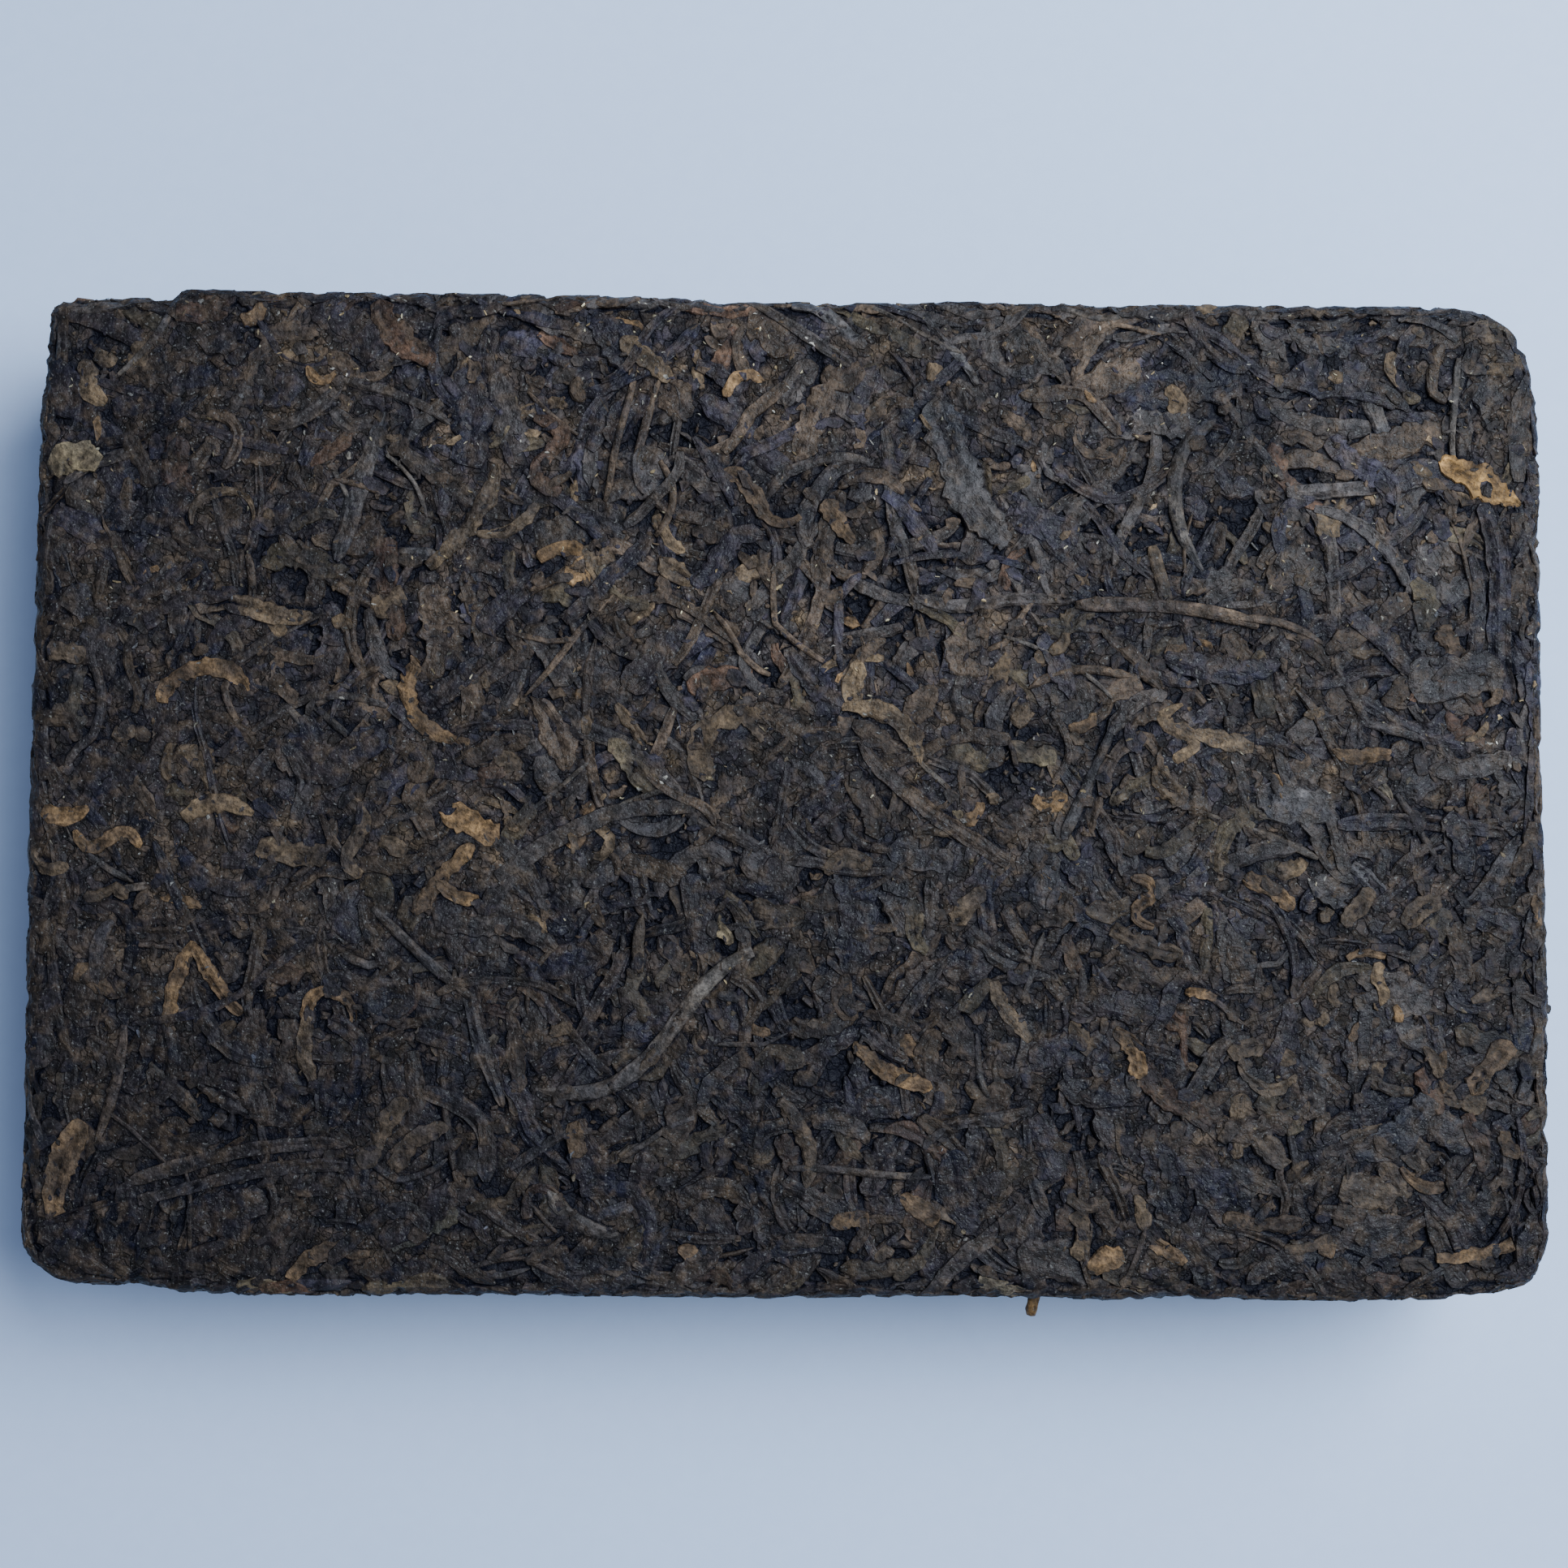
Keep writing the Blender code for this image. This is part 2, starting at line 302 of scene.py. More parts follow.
class Bed:
    """One face's leaves as they pile up: the height of the pile, and whose leaf is on top."""

    CELL = 0.25
    PRESS_SPREAD = 0.9  # the press evens out what is wider than about this
    CROWN = 0.12  # the most that a crown stands out of the pressed face
    DEEPEST = 0.8
    NEAR = 0.4  # the neighbourhood that a hollow is measured against
    SHADE_SPREAD = 2.2  # most of the patches of colour are within it

    raised = MASS_RAISED  # how much the crumbled leaf's height is raised, the same or by row

    def __init__(self, low, high, place, flip, coarse, tone, round_trip=False):
        self.low, self.place, self.flip = np.array(low, float), place, flip
        self.coarse, self.tone = coarse, tone
        self.cells = np.ceil((np.array(high) - self.low) / self.CELL).astype(int)
        self.round_trip = round_trip
        self.pile = np.zeros(self.cells[::-1])
        self.owner = np.full(self.cells[::-1], -1)
        self.leaves = []

    def index(self, x, y):
        column = ((x - self.low[0]) / self.CELL).astype(int)
        row = ((y - self.low[1]) / self.CELL).astype(int)
        if self.round_trip:
            column = np.mod(column, self.cells[0])
        else:
            column = np.clip(column, 0, self.cells[0] - 1)
        return np.clip(row, 0, self.cells[1] - 1) * self.cells[0] + column

    def under(self, x, y):
        return self.pile.ravel()[self.index(x, y)]

    def cover(self, leaf):
        dense = [spread(leaf[part], leaf["fine"]) for part in ("x", "y", "top")]
        at, top = self.index(dense[0], dense[1]).ravel(), dense[2].ravel()
        order = np.argsort(top)
        at, top = at[order], top[order]
        pile, owner = self.pile.ravel(), self.owner.ravel()
        higher = top > pile[at]
        at, top = at[higher], top[higher]
        pile[at] = top
        owner[at] = len(self.leaves)
        leaf["cells"] = len(np.unique(at))
        self.leaves.append(leaf)

    def press(self, rng):
        """The raster of what the press takes off each place, and the height and colour of the
        crumbled leaf that fills the gaps."""
        self.take = blur(self.pile, self.PRESS_SPREAD / self.CELL)
        face = self.squeezed(self.pile - self.take)
        self.mass = matted(rng, self.pile.shape) + self.raised
        shade = many_lumps(rng, self.pile.shape, MASS_SHADES)
        self.shade = np.clip((shade / self.SHADE_SPREAD + 1) / 2, 0, 0.999)
        self.stain = np.clip(many_lumps(rng, self.pile.shape, STAINS), *STAIN_RANGE)
        self.around = blur(np.maximum(face, self.mass), self.NEAR / self.CELL)
        self.owner[face < self.mass] = -1

    def squeezed(self, height):
        crown = self.CROWN * (1 - np.exp(-np.maximum(height, 0) / self.CROWN))
        return np.where(height > 0, crown, np.maximum(height, -self.DEEPEST))

    def read(self, field, x, y):
        """A field's value at places on the face."""
        fx = (x - self.low[0]) / self.CELL - 0.5
        fy = np.clip((y - self.low[1]) / self.CELL - 0.5, 0, self.cells[1] - 1.001)
        if self.round_trip:
            fx = np.mod(fx, self.cells[0])
        else:
            fx = np.clip(fx, 0, self.cells[0] - 1.001)
        return between(field, fy, fx)

    def lightness(self, x, y, share=1.0):
        """How much lighter or darker the leaf is at a place, from its stains and the face's tone.
        Where it is darker it is bluer: a painted tint of the blue shade.
        """
        tone = self.tone(x, y) ** share * np.exp(self.read(self.stain, x, y))
        return tone[:, None] * np.minimum(tone, TINT_LIMIT)[:, None] ** DARKER_IS_BLUER

    def seen(self, least_share, least_cells):
        """The leaves that show enough of themselves to be worth their faces."""
        shown = np.bincount(self.owner[self.owner >= 0], minlength=len(self.leaves))
        for number, leaf in enumerate(self.leaves):
            if shown[number] >= max(least_cells, least_share * leaf["cells"]):
                yield leaf


_weights = {}


def weights(count, times):
    """A matrix that puts times - 1 even steps between neighbours."""
    if (count, times) not in _weights:
        at = np.arange((count - 1) * times + 1) / times
        _weights[count, times] = np.maximum(0, 1 - np.abs(at[:, None] - np.arange(count)))
    return _weights[count, times]


def spread(grid, times):
    return weights(grid.shape[0], times[0]) @ grid @ weights(grid.shape[1], times[1]).T


# ---------------------------------------------------------------- leaves

@dataclass
class Kind:
    """Sizes in millimetres, each as (least, most)."""

    slot: str
    length: tuple
    width: tuple
    thickness: tuple
    turn: float  # radians that the line turns over its length, give or take
    wiggle: float
    ragged: float  # how uneven the two long edges are, as a share of the width
    flatness: float  # 2 for a round back, more for a flat one
    drape: float  # how much it takes the shape of what is under it, 0 to 1
    ring: int  # points across its upper side
    step: float  # distance between its stations
    colours: tuple  # (share, colour)


# The leaves' dark colour is their own, but the blue in BLUE_BLACK and BLACK_BROWN is a painted tint
# of the cool shade and sheen on them.
BLUE_BLACK = (0.0054, 0.0055, 0.0108)
BLACK_BROWN = (0.0096, 0.0088, 0.0144)
GREY_BROWN = (0.0213, 0.0186, 0.0189)
LEAF_GREY = (0.029, 0.0275, 0.0295)
EARTH_BROWN = (0.0305, 0.0214, 0.0156)
OLIVE_BROWN = (0.036, 0.0285, 0.0185)
RUST_BROWN = (0.04, 0.0225, 0.015)
TAN = (0.0660, 0.0460, 0.0280)
GOLD = (0.108, 0.0655, 0.0318)
PALE_GOLD = (0.15, 0.115, 0.066)
AMBER = (0.19, 0.108, 0.04)
PALE_OLIVE = (0.085, 0.074, 0.044)
STEM_BROWN = (0.05, 0.035, 0.025)
STEM_GREY = (0.042, 0.037, 0.034)
PALE_GREY = (0.14, 0.135, 0.125)
STRAW = (0.24, 0.215, 0.15)
SHELL_WHITE = (0.45, 0.44, 0.4)

DARK_MIX = ((0.325, BLACK_BROWN), (0.32, GREY_BROWN), (0.13, BLUE_BLACK), (0.21, EARTH_BROWN),
            (0.015, LEAF_GREY))
BROWN_MIX = ((0.45, EARTH_BROWN), (0.25, OLIVE_BROWN), (0.19, RUST_BROWN), (0.11, TAN))
GOLD_MIX = ((0.56, TAN), (0.36, GOLD), (0.08, PALE_GOLD))
STEM_MIX = ((0.6, STEM_BROWN), (0.4, STEM_GREY))
CRUMB_MIX = ((0.36, BLACK_BROWN), (0.28, GREY_BROWN), (0.26, EARTH_BROWN), (0.08, TAN),
             (0.02, GOLD))
DUST_MIX = ((0.34, BLACK_BROWN), (0.34, GREY_BROWN), (0.22, EARTH_BROWN), (0.07, TAN),
            (0.015, PALE_GOLD), (0.015, PALE_GREY))
SPECK_MIX = ((0.4, PALE_GREY), (0.3, PALE_GOLD), (0.3, STRAW))
MASS_MIX = (BLUE_BLACK, BLACK_BROWN, BLACK_BROWN, GREY_BROWN, EARTH_BROWN, EARTH_BROWN, TAN)

KINDS = {
    "flat_leaves": Kind("dark_leaf", (4.5, 15.0), (1.6, 4.4), (0.14, 0.26), 0.3, 0.25, 0.35,
                        7.0, 0.75, 7, 0.55, DARK_MIX),
    "rolled_leaves": Kind("dark_leaf", (6.0, 22.0), (0.9, 2.1), (0.2, 0.36), 0.4, 0.25, 0.22,
                          3.6, 0.55, 7, 0.78, DARK_MIX),
    "brown_leaves": Kind("brown_leaf", (3.5, 12.0), (1.0, 3.0), (0.14, 0.26), 0.45, 0.3, 0.4,
                         6.0, 0.75, 7, 0.55, BROWN_MIX),
    "golden_tips": Kind("golden_tip", (2.5, 7.0), (1.0, 2.6), (0.14, 0.26), 0.6, 0.4, 0.4,
                        5.0, 0.7, 7, 0.45, GOLD_MIX),
    "leaf_stems": Kind("leaf_stem", (5.0, 16.0), (0.45, 1.1), (0.28, 0.45), 0.25, 0.12, 0.12,
                       2.0, 0.3, 6, 0.9, STEM_MIX),
    "leaf_crumbs": Kind("brown_leaf", (0.9, 3.6), (0.6, 1.8), (0.12, 0.26), 0.5, 0.35, 0.45,
                        6.0, 0.8, 5, 0.6, CRUMB_MIX),
    "pale_specks": Kind("golden_tip", (0.18, 0.5), (0.14, 0.32), (0.1, 0.18), 0.3, 0.2, 0.3,
                        4.0, 0.9, 4, 0.2, SPECK_MIX),
    "leaf_dust": Kind("dark_leaf", (0.35, 1.1), (0.25, 0.7), (0.08, 0.2), 0.4, 0.3, 0.4,
                      4.0, 0.8, 4, 0.45, DUST_MIX),
}


def ring_spread(points):
    """Places across a leaf, from its right edge to its left one, closer near the edges."""
    return np.sin(np.linspace(-np.pi / 2, np.pi / 2, points))


def slow_noise(rng, stations, knots):
    at = np.linspace(0, knots - 1, stations)
    return np.interp(at, np.arange(knots), rng.uniform(-1, 1, knots))


KINKED_SHARE = 0.45
KINK = 0.45  # in radians
ANY_TURN = (0, 6.3)  # in radians
SHORT_MORE_OFTEN = (1.5, 3.0)  # the beta curve of lengths from the least to the most


def wandering_line(rng, kind, coarse, length, x, y, heading):
    """A leaf's middle line from a steady turn, slower and faster waves, and often a kink."""
    stations = max(3, round(length / (kind.step * coarse)) + 1)
    u = np.linspace(0, 1, stations)
    bend = rng.normal(0, kind.turn) * (u - 0.5) * 2
    for waves in (1, 2, 3):
        swing = kind.wiggle / waves * rng.normal()
        bend += swing * np.sin(np.pi * waves * u + rng.uniform(*ANY_TURN))
    if rng.random() < KINKED_SHARE:
        bend += rng.normal(0, KINK) * (u > rng.uniform(0.2, 0.8))
    bend += heading
    line = np.cumsum(np.stack([np.cos(bend), np.sin(bend)], axis=-1), axis=0)
    line *= length / (stations - 1)
    return line - line.mean(axis=0) + (x, y)


def slide_mean(values):
    padded = np.concatenate([values[:1], values[:1], values, values[-1:], values[-1:]])
    return np.convolve(padded, np.ones(5) / 5, mode="valid")


def slide_rows(grid):
    """Each place's height averaged with its neighbours' across and along."""
    padded = np.pad(grid, 1, mode="edge")
    middle = padded[:-2] + 2 * padded[1:-1] + padded[2:]
    return (middle[:, :-2] + 2 * middle[:, 1:-1] + middle[:, 2:]) / 16


def pick(rng, mix):
    shares = np.array([share for share, _ in mix])
    return np.array(mix[rng.choice(len(mix), p=shares / shares.sum())][1])


LONG_TAPERS, SHORT_TAPERS = (1.3, 3.0), (3.0, 10.0)  # a leaf's length over its end's
TORN_TIPS = (0.02, 0.55)  # shares of its width
FINE = 0.22  # the distance between a laid leaf's marks on the pile
OWN_LIGHTNESS = (-0.3, 0.4)  # how much darker or lighter than its colour a leaf can be
MOTTLE = 0.14  # how much its lightness varies over its length
RAGGED = (0.7, 0.5)  # shares of a kind's raggedness in long waves and from point to point
LEAN = 0.35  # how far its ridge wanders from its middle
FOLDS = (0.8, 2.2)  # the half waves from its middle to an edge
FOLD, WRINKLE, TIP_THICKNESS = 0.4, 0.25, 0.35  # shares of its thickness
EDGE_SINK, TIP_SINK = 0.1, 0.05  # how far its edges and tips end in the pile
EDGE_DROP = 0.9  # the most that an edge hangs below where the leaf rests
LOTS = (0, 60)  # where its fibres start in their noise
COARSE_RING = 5  # the most points across a leaf of a coarser face
TIP_REACH = (0.02, 0.2)  # how far its tips point out, as a share of its width


def leaf_plan(rng, kind, line, along, width, v):
    """Where a leaf's points lie, between two ragged edges that close in on its torn ends, and
    the share of its width that is left at each station."""
    stations = len(line)
    u = np.linspace(0, 1, stations)[:, None]
    long = rng.random(2) < 0.5
    blunt = np.where(long, rng.uniform(*LONG_TAPERS, 2), rng.uniform(*SHORT_TAPERS, 2))
    torn = rng.uniform(*TORN_TIPS, 2)
    start, end = (
        t + (1 - t) * (1 - (1 - np.clip(u * b, 0, 1)) ** 2) for b, t in zip(blunt, torn))
    taper = np.sqrt(start * end[::-1])
    edges = [
        1 + kind.ragged * (RAGGED[0] * slow_noise(rng, stations, max(2, stations // 3))[:, None]
                           + RAGGED[1] * rng.uniform(-1, 1, (stations, 1)))
        for _ in range(2)
    ]
    across = width / 2 * taper * np.where(v > 0, edges[0], edges[1]) * v
    return line[:, :1] - along[:, 1:] * across, line[:, 1:] + along[:, :1] * across, taper


def leaf_top(rng, kind, under, thickness, taper, v):
    """The height of a leaf's points, from the pile's height under each. It is stiff along its
    length, with its edges down on what is under it."""
    spine = slide_mean(0.5 * under.mean(axis=1) + 0.5 * under.max(axis=1))[:, None]
    rest = spine + kind.drape * (slide_rows(under) - spine)
    lean = LEAN * slow_noise(rng, len(under), 4)[:, None]
    crown = (1 - np.abs(np.clip(v + lean * (1 - v**2), -1, 1)) ** kind.flatness) ** 0.5
    fold = np.cos(np.pi * rng.uniform(*FOLDS) * v + rng.uniform(*ANY_TURN) + 2 * lean)
    wrinkle = 1 + FOLD * fold + WRINKLE * rng.uniform(-1, 1, under.shape)
    tapered = TIP_THICKNESS + (1 - TIP_THICKNESS) * taper
    top = rest + thickness * crown * wrinkle * tapered
    edge = np.maximum(np.minimum(rest, under) - EDGE_SINK, rest - EDGE_DROP)
    top[:, 0], top[:, -1] = edge[:, 0], edge[:, -1]
    return top


def lay(bed, rng, name, line, width, thickness, colour, toned=1.0):
    """Lays one leaf on the bed along a line. toned is how much of the face's tone, with its painted
    light and shade, it takes.
    """
    kind = KINDS[name]
    stations = len(line)
    along = np.gradient(line, axis=0)
    along /= np.maximum(np.linalg.norm(along, axis=1, keepdims=True), 1e-9)
    ring = kind.ring if bed.coarse == 1 else min(kind.ring, COARSE_RING)
    v = ring_spread(ring)[None, :]
    x, y, taper = leaf_plan(rng, kind, line, along, width, v)
    top = leaf_top(rng, kind, bed.under(x, y), thickness, taper, v)

    reach = width * rng.uniform(*TIP_REACH, (2, 1))
    tips = np.stack([line[0], line[-1]]) + reach * np.stack([-along[0], along[-1]])
    tip_height = bed.under(tips[:, 0], tips[:, 1]) - TIP_SINK
    gap = width / 2 * np.diff(ring_spread(ring)).max()
    step = np.hypot(*(line[1] - line[0]))
    fine = (int(np.ceil(step / FINE)), int(np.ceil(gap / FINE)))
    own = 1 + toned * rng.uniform(*OWN_LIGHTNESS)
    shade = colour * own * (1 + MOTTLE * slow_noise(rng, stations, 4)[:, None])
    bed.cover({
        "name": name, "x": x, "y": y, "top": top, "fine": fine, "tips": tips,
        "tip_height": tip_height, "shade": shade, "v": v * width / 2,
        "u": np.arange(stations)[:, None] * step, "lot": rng.uniform(*LOTS), "toned": toned,
    })


def scatter(bed, rng, counts, low, high, heading):
    """Lays so many leaves of each kind at random places between two corners. heading gives
    the direction of the leaf at a place."""
    names = np.repeat(list(counts), list(counts.values()))
    rng.shuffle(names)
    for name in names:
        kind = KINDS[name]
        x, y = rng.uniform(low, high)
        length = kind.length[0] + np.ptp(kind.length) * rng.beta(*SHORT_MORE_OFTEN)
        width = rng.uniform(*kind.width)
        line = wandering_line(rng, kind, bed.coarse, length, x, y, heading(rng, x, y))
        lay(bed, rng, name, line, width, rng.uniform(*kind.thickness), pick(rng, kind.colours))


# ---------------------------------------------------------------- meshes from many leaves

# Each piece's faces lie side by side on one map, a patch for each leaf.
MAP_GAP = 1.3 / 1024  # between two patches, as a share of the map
TIP_ROOM = UNDERSIDE_ROOM = 0.15  # what a leaf's tips and its underside get on it


def ring_corners(stations, ring):
    """The corners of a closed strip's faces as (station, place round the ring): its quads,
    and a fan of triangles to each tip, where the station is -1 or one past the last."""
    i, j = (part.ravel() for part in np.indices((stations - 1, ring)))
    quads = np.array([(i, j), (i + 1, j), (i + 1, j + 1), (i, j + 1)]).transpose(2, 0, 1)
    j = np.arange(ring)
    first, last = np.zeros(ring), np.full(ring, stations - 1)
    fans = [[(first - 1, j + 0.5), (first, j), (first, j + 1)],
            [(last + 1, j + 0.5), (last, j + 1), (last, j)]]
    tris = np.concatenate([np.array(fan).transpose(2, 0, 1) for fan in fans])
    return quads, tris


def ring_faces(stations, ring, along, across):
    """Faces of a closed strip and where they lie on its flat patch. The tips are the two
    points after the rings. along has the stations' distances with a tip's at each end, and
    across the ring's with its start again at the end."""
    faces, patch = [], []
    for corners in ring_corners(stations, ring):
        station, place = corners[..., 0], corners[..., 1]
        tip = np.where(station < 0, stations * ring, stations * ring + 1)
        inside = (station >= 0) & (station < stations)
        face = np.where(inside, station * ring + np.mod(place, ring), tip)
        faces.append(face.astype(int))
        patch.append(np.stack([np.interp(station, np.arange(-1, stations + 1), along),
                               np.interp(place, np.arange(ring + 1), across)], axis=-1))
    return faces, patch


def in_rows(sizes, side):
    """Corners of rectangles that are laid in rows as wide as a square, the tallest first, and
    the height that the rows take."""
    corners = np.zeros_like(sizes)
    at = np.zeros(2)
    row = 0.0
    for number in np.argsort(-sizes[:, 1], kind="stable"):
        if at[0] + sizes[number, 0] > side:
            at, row = np.array([0.0, at[1] + row]), 0.0
        corners[number] = at
        at[0] += sizes[number, 0]
        row = max(row, sizes[number, 1])
    return corners, at[1] + row


def packed(patches):
    """Patches of many sizes on one map, from 0 to 1, with a little room between them."""
    sizes = np.array([np.concatenate([part.reshape(-1, 2) for part in patch]).max(axis=0)
                      for patch in patches])
    side = max(np.sqrt(sizes.prod(axis=1).sum()), sizes[:, 0].max() * (1 + 2 * MAP_GAP))
    while True:
        gap = MAP_GAP * side
        corners, height = in_rows(sizes + gap, side)
        if height <= side:
            break
        side *= 1.02
    corners += gap / 2
    quads = [patch[0] + corner for patch, corner in zip(patches, corners)]
    tris = [patch[1] + corner for patch, corner in zip(patches, corners)]
    return np.concatenate([np.concatenate(part).reshape(-1, 2) for part in (quads, tris)]) / side


ROUNDED = ("leaf_stems",)  # the rest are creased, and their faces meet at sharp folds


class Heap:
    """One kind of leaf from every face of the brick, to become one mesh."""

    def __init__(self):
        self.parts, self.count = [], 0

    def add(self, points, faces, patch, shade, relief, grain, flip):
        if flip:
            faces, patch = [part[:, ::-1] for part in faces], [part[:, ::-1] for part in patch]
        quads, tris = (part + self.count for part in faces)
        self.parts.append((points, quads, tris, shade, relief, grain, patch))
        self.count += len(points)

    def to_object(self, name):
        *parts, patches = zip(*self.parts)
        points, quads, tris, shade, relief, grain = map(np.concatenate, parts)
        mesh = bpy.data.meshes.new(name)
        mesh.vertices.add(len(points))
        points = (points + (CENTRE_X, CENTRE_Y, 0)) * MM
        mesh.vertices.foreach_set("co", points.astype(np.float32).ravel())
        mesh.loops.add(quads.size + tris.size)
        corners = np.concatenate([quads.ravel(), tris.ravel()]).astype(np.int32)
        mesh.loops.foreach_set("vertex_index", corners)
        sizes = np.concatenate([np.full(len(quads), 4), np.full(len(tris), 3)])
        starts = np.concatenate([[0], np.cumsum(sizes)[:-1]]).astype(np.int32)
        mesh.polygons.add(len(sizes))
        mesh.polygons.foreach_set("loop_start", starts)
        mesh.polygons.foreach_set("use_smooth", np.full(len(sizes), name in ROUNDED))
        places = mesh.uv_layers.new(name="OFBake")
        places.data.foreach_set("uv", packed(patches).astype(np.float32).ravel())
        mesh.update(calc_edges=True)
        for attribute, kind, value, values in (
                ("leaf_colour", "FLOAT_COLOR", "color", np.c_[shade, np.ones(len(shade))]),
                ("relief", "FLOAT", "value", relief),
                ("leaf_grain", "FLOAT_VECTOR", "vector", grain)):
            made = mesh.attributes.new(attribute, kind, "POINT")
            made.data.foreach_set(value, values.ravel())
        mesh.validate()
        return link(name, mesh)


def link(name, data):
    thing = bpy.data.objects.new(name, data)
    bpy.context.scene.collection.objects.link(thing)
    return thing


def gather(bed, heaps, least_share, least_cells):
    """Presses a bed and adds its visible leaves to the heaps of their kinds."""
    bed.press(np.random.default_rng(len(bed.leaves)))
    for leaf in bed.seen(least_share, least_cells):
        x = np.concatenate([leaf["x"].ravel(), leaf["tips"][:, 0]])
        y = np.concatenate([leaf["y"].ravel(), leaf["tips"][:, 1]])
        top = np.concatenate([leaf["top"].ravel(), leaf["tip_height"]])
        height = bed.squeezed(top - bed.read(bed.take, x, y))
        # how far each point stands over its neighbourhood: the materials paint shade into the
        # hollows with it and lighten the crowns
        relief = height - bed.read(bed.around, x, y)
        stations, ring = leaf["x"].shape
        shade = np.repeat(leaf["shade"], ring, axis=0)
        shade = np.concatenate([shade, leaf["shade"][[0, -1]]])
        shade = shade * bed.lightness(x, y, leaf["toned"])
        grain = np.stack(np.broadcast_arrays(leaf["u"], leaf["v"], leaf["lot"]), axis=-1)
        grain = grain.reshape(-1, 3)
        grain = np.concatenate([grain, grain[[0, -1]]])
        along = np.concatenate([[0.0], leaf["u"][:, 0] + TIP_ROOM, leaf["u"][-1] + 2 * TIP_ROOM])
        across = leaf["v"][0] - leaf["v"][0, 0]
        across = np.append(across, across[-1] + UNDERSIDE_ROOM)
        faces, patch = ring_faces(stations, ring, along, across)
        points = bed.place(x, y, height)
        heaps[leaf["name"]].add(points, faces, patch, shade, relief, grain, bed.flip)


OVERHANG = 1.6  # how far past the outline a leaf's middle can lie
BED_MARGIN = 14  # room for the rest of it
EDGE_BAND = 7.0  # where leaves turn along the edge
SIDE_TURN = 0.14  # how far from level the sides' leaves lie, in radians
FROM_RIMS = 0.6  # how near the rims their middles come
SIDE_MARGIN = 6.0
UNDER_COARSE, SIDE_COARSE = 1.6, 1.3  # how much coarser their leaves' meshes are than the top's


def brick_face(place, flip, coarse, tone, seed, layers):
    """The top or the underside, with its leaves turning down round the edges."""
    high = np.array([LENGTH, WIDTH]) / 2 + OVERHANG
    bed = Bed(-high - BED_MARGIN, high + BED_MARGIN, place, flip, coarse, tone)
    rng = np.random.default_rng(seed)
    for counts in layers[:-1]:
        scatter(bed, rng, counts, -high, high, along_edges)
    if place is on_top:
        bed.raised = np.linspace(*TOP_MASS_RAISED, bed.cells[1])[:, None]
        buds_rng = np.random.default_rng(seed + 5)
        scatter(bed, buds_rng, FRONT_RIGHT_BUDS, *FRONT_RIGHT, along_edges)
        lay_standing_out(bed, rng)
    scatter(bed, rng, layers[-1], -high, high, along_edges)
    if place is on_top:
        lay_pale_specks(bed, rng)
    return bed


def along_edges(rng, x, y):
    """Any direction in the middle, and along the edge near one."""
    heading = rng.uniform(0, 2 * np.pi)
    to_end, to_side = LENGTH / 2 - abs(x), WIDTH / 2 - abs(y)
    nearness = np.clip(1 - min(to_end, to_side) / EDGE_BAND, 0, 1)
    edge = np.pi / 2 if to_end < to_side else 0.0
    off = (heading - edge + np.pi / 2) % np.pi - np.pi / 2
    return heading - off * nearness


def brick_side(seed, layers):
    """The four sides as one band, of leaves that lie mostly level."""
    low, high = (0.0, FROM_RIMS), (PERIMETER, DOWN_THE_SIDE - FROM_RIMS)
    bed = Bed((0.0, -SIDE_MARGIN), (PERIMETER, DOWN_THE_SIDE + SIDE_MARGIN), on_side, True,
              SIDE_COARSE, even_tone, True)
    rng = np.random.default_rng(seed)
    for counts in layers:
        scatter(bed, rng, counts, low, high, lambda rng, x, y: rng.normal(0, SIDE_TURN))
    return bed


TOP_LAYERS = (
    {"flat_leaves": 560, "rolled_leaves": 140, "brown_leaves": 220},
    {"flat_leaves": 360, "rolled_leaves": 280, "brown_leaves": 300, "golden_tips": 45,
     "leaf_crumbs": 1200, "leaf_dust": 1200},
    {"flat_leaves": 190, "rolled_leaves": 220, "brown_leaves": 220, "golden_tips": 35,
     "leaf_stems": 60},
    {"flat_leaves": 20, "rolled_leaves": 20, "leaf_stems": 10, "leaf_crumbs": 700,
     "leaf_dust": 3400},
)
PALE_SPECKS = 846
FRONT_RIGHT = (5.0, -WIDTH / 2), (LENGTH / 2, 0.0)  # two corners of where more buds lie
FRONT_RIGHT_BUDS = {"golden_tips": 16, "brown_leaves": 16}
UNDER_LAYERS = (
    {"flat_leaves": 500, "rolled_leaves": 150, "brown_leaves": 180},
    {"flat_leaves": 300, "rolled_leaves": 280, "brown_leaves": 260, "golden_tips": 80,
     "leaf_stems": 60, "leaf_crumbs": 900},
    {"leaf_crumbs": 400},
)
SIDE_LAYERS = (
    {"flat_leaves": 240, "rolled_leaves": 280, "brown_leaves": 180},
    {"rolled_leaves": 240, "brown_leaves": 180, "golden_tips": 40, "leaf_stems": 70,
     "leaf_crumbs": 1000},
)

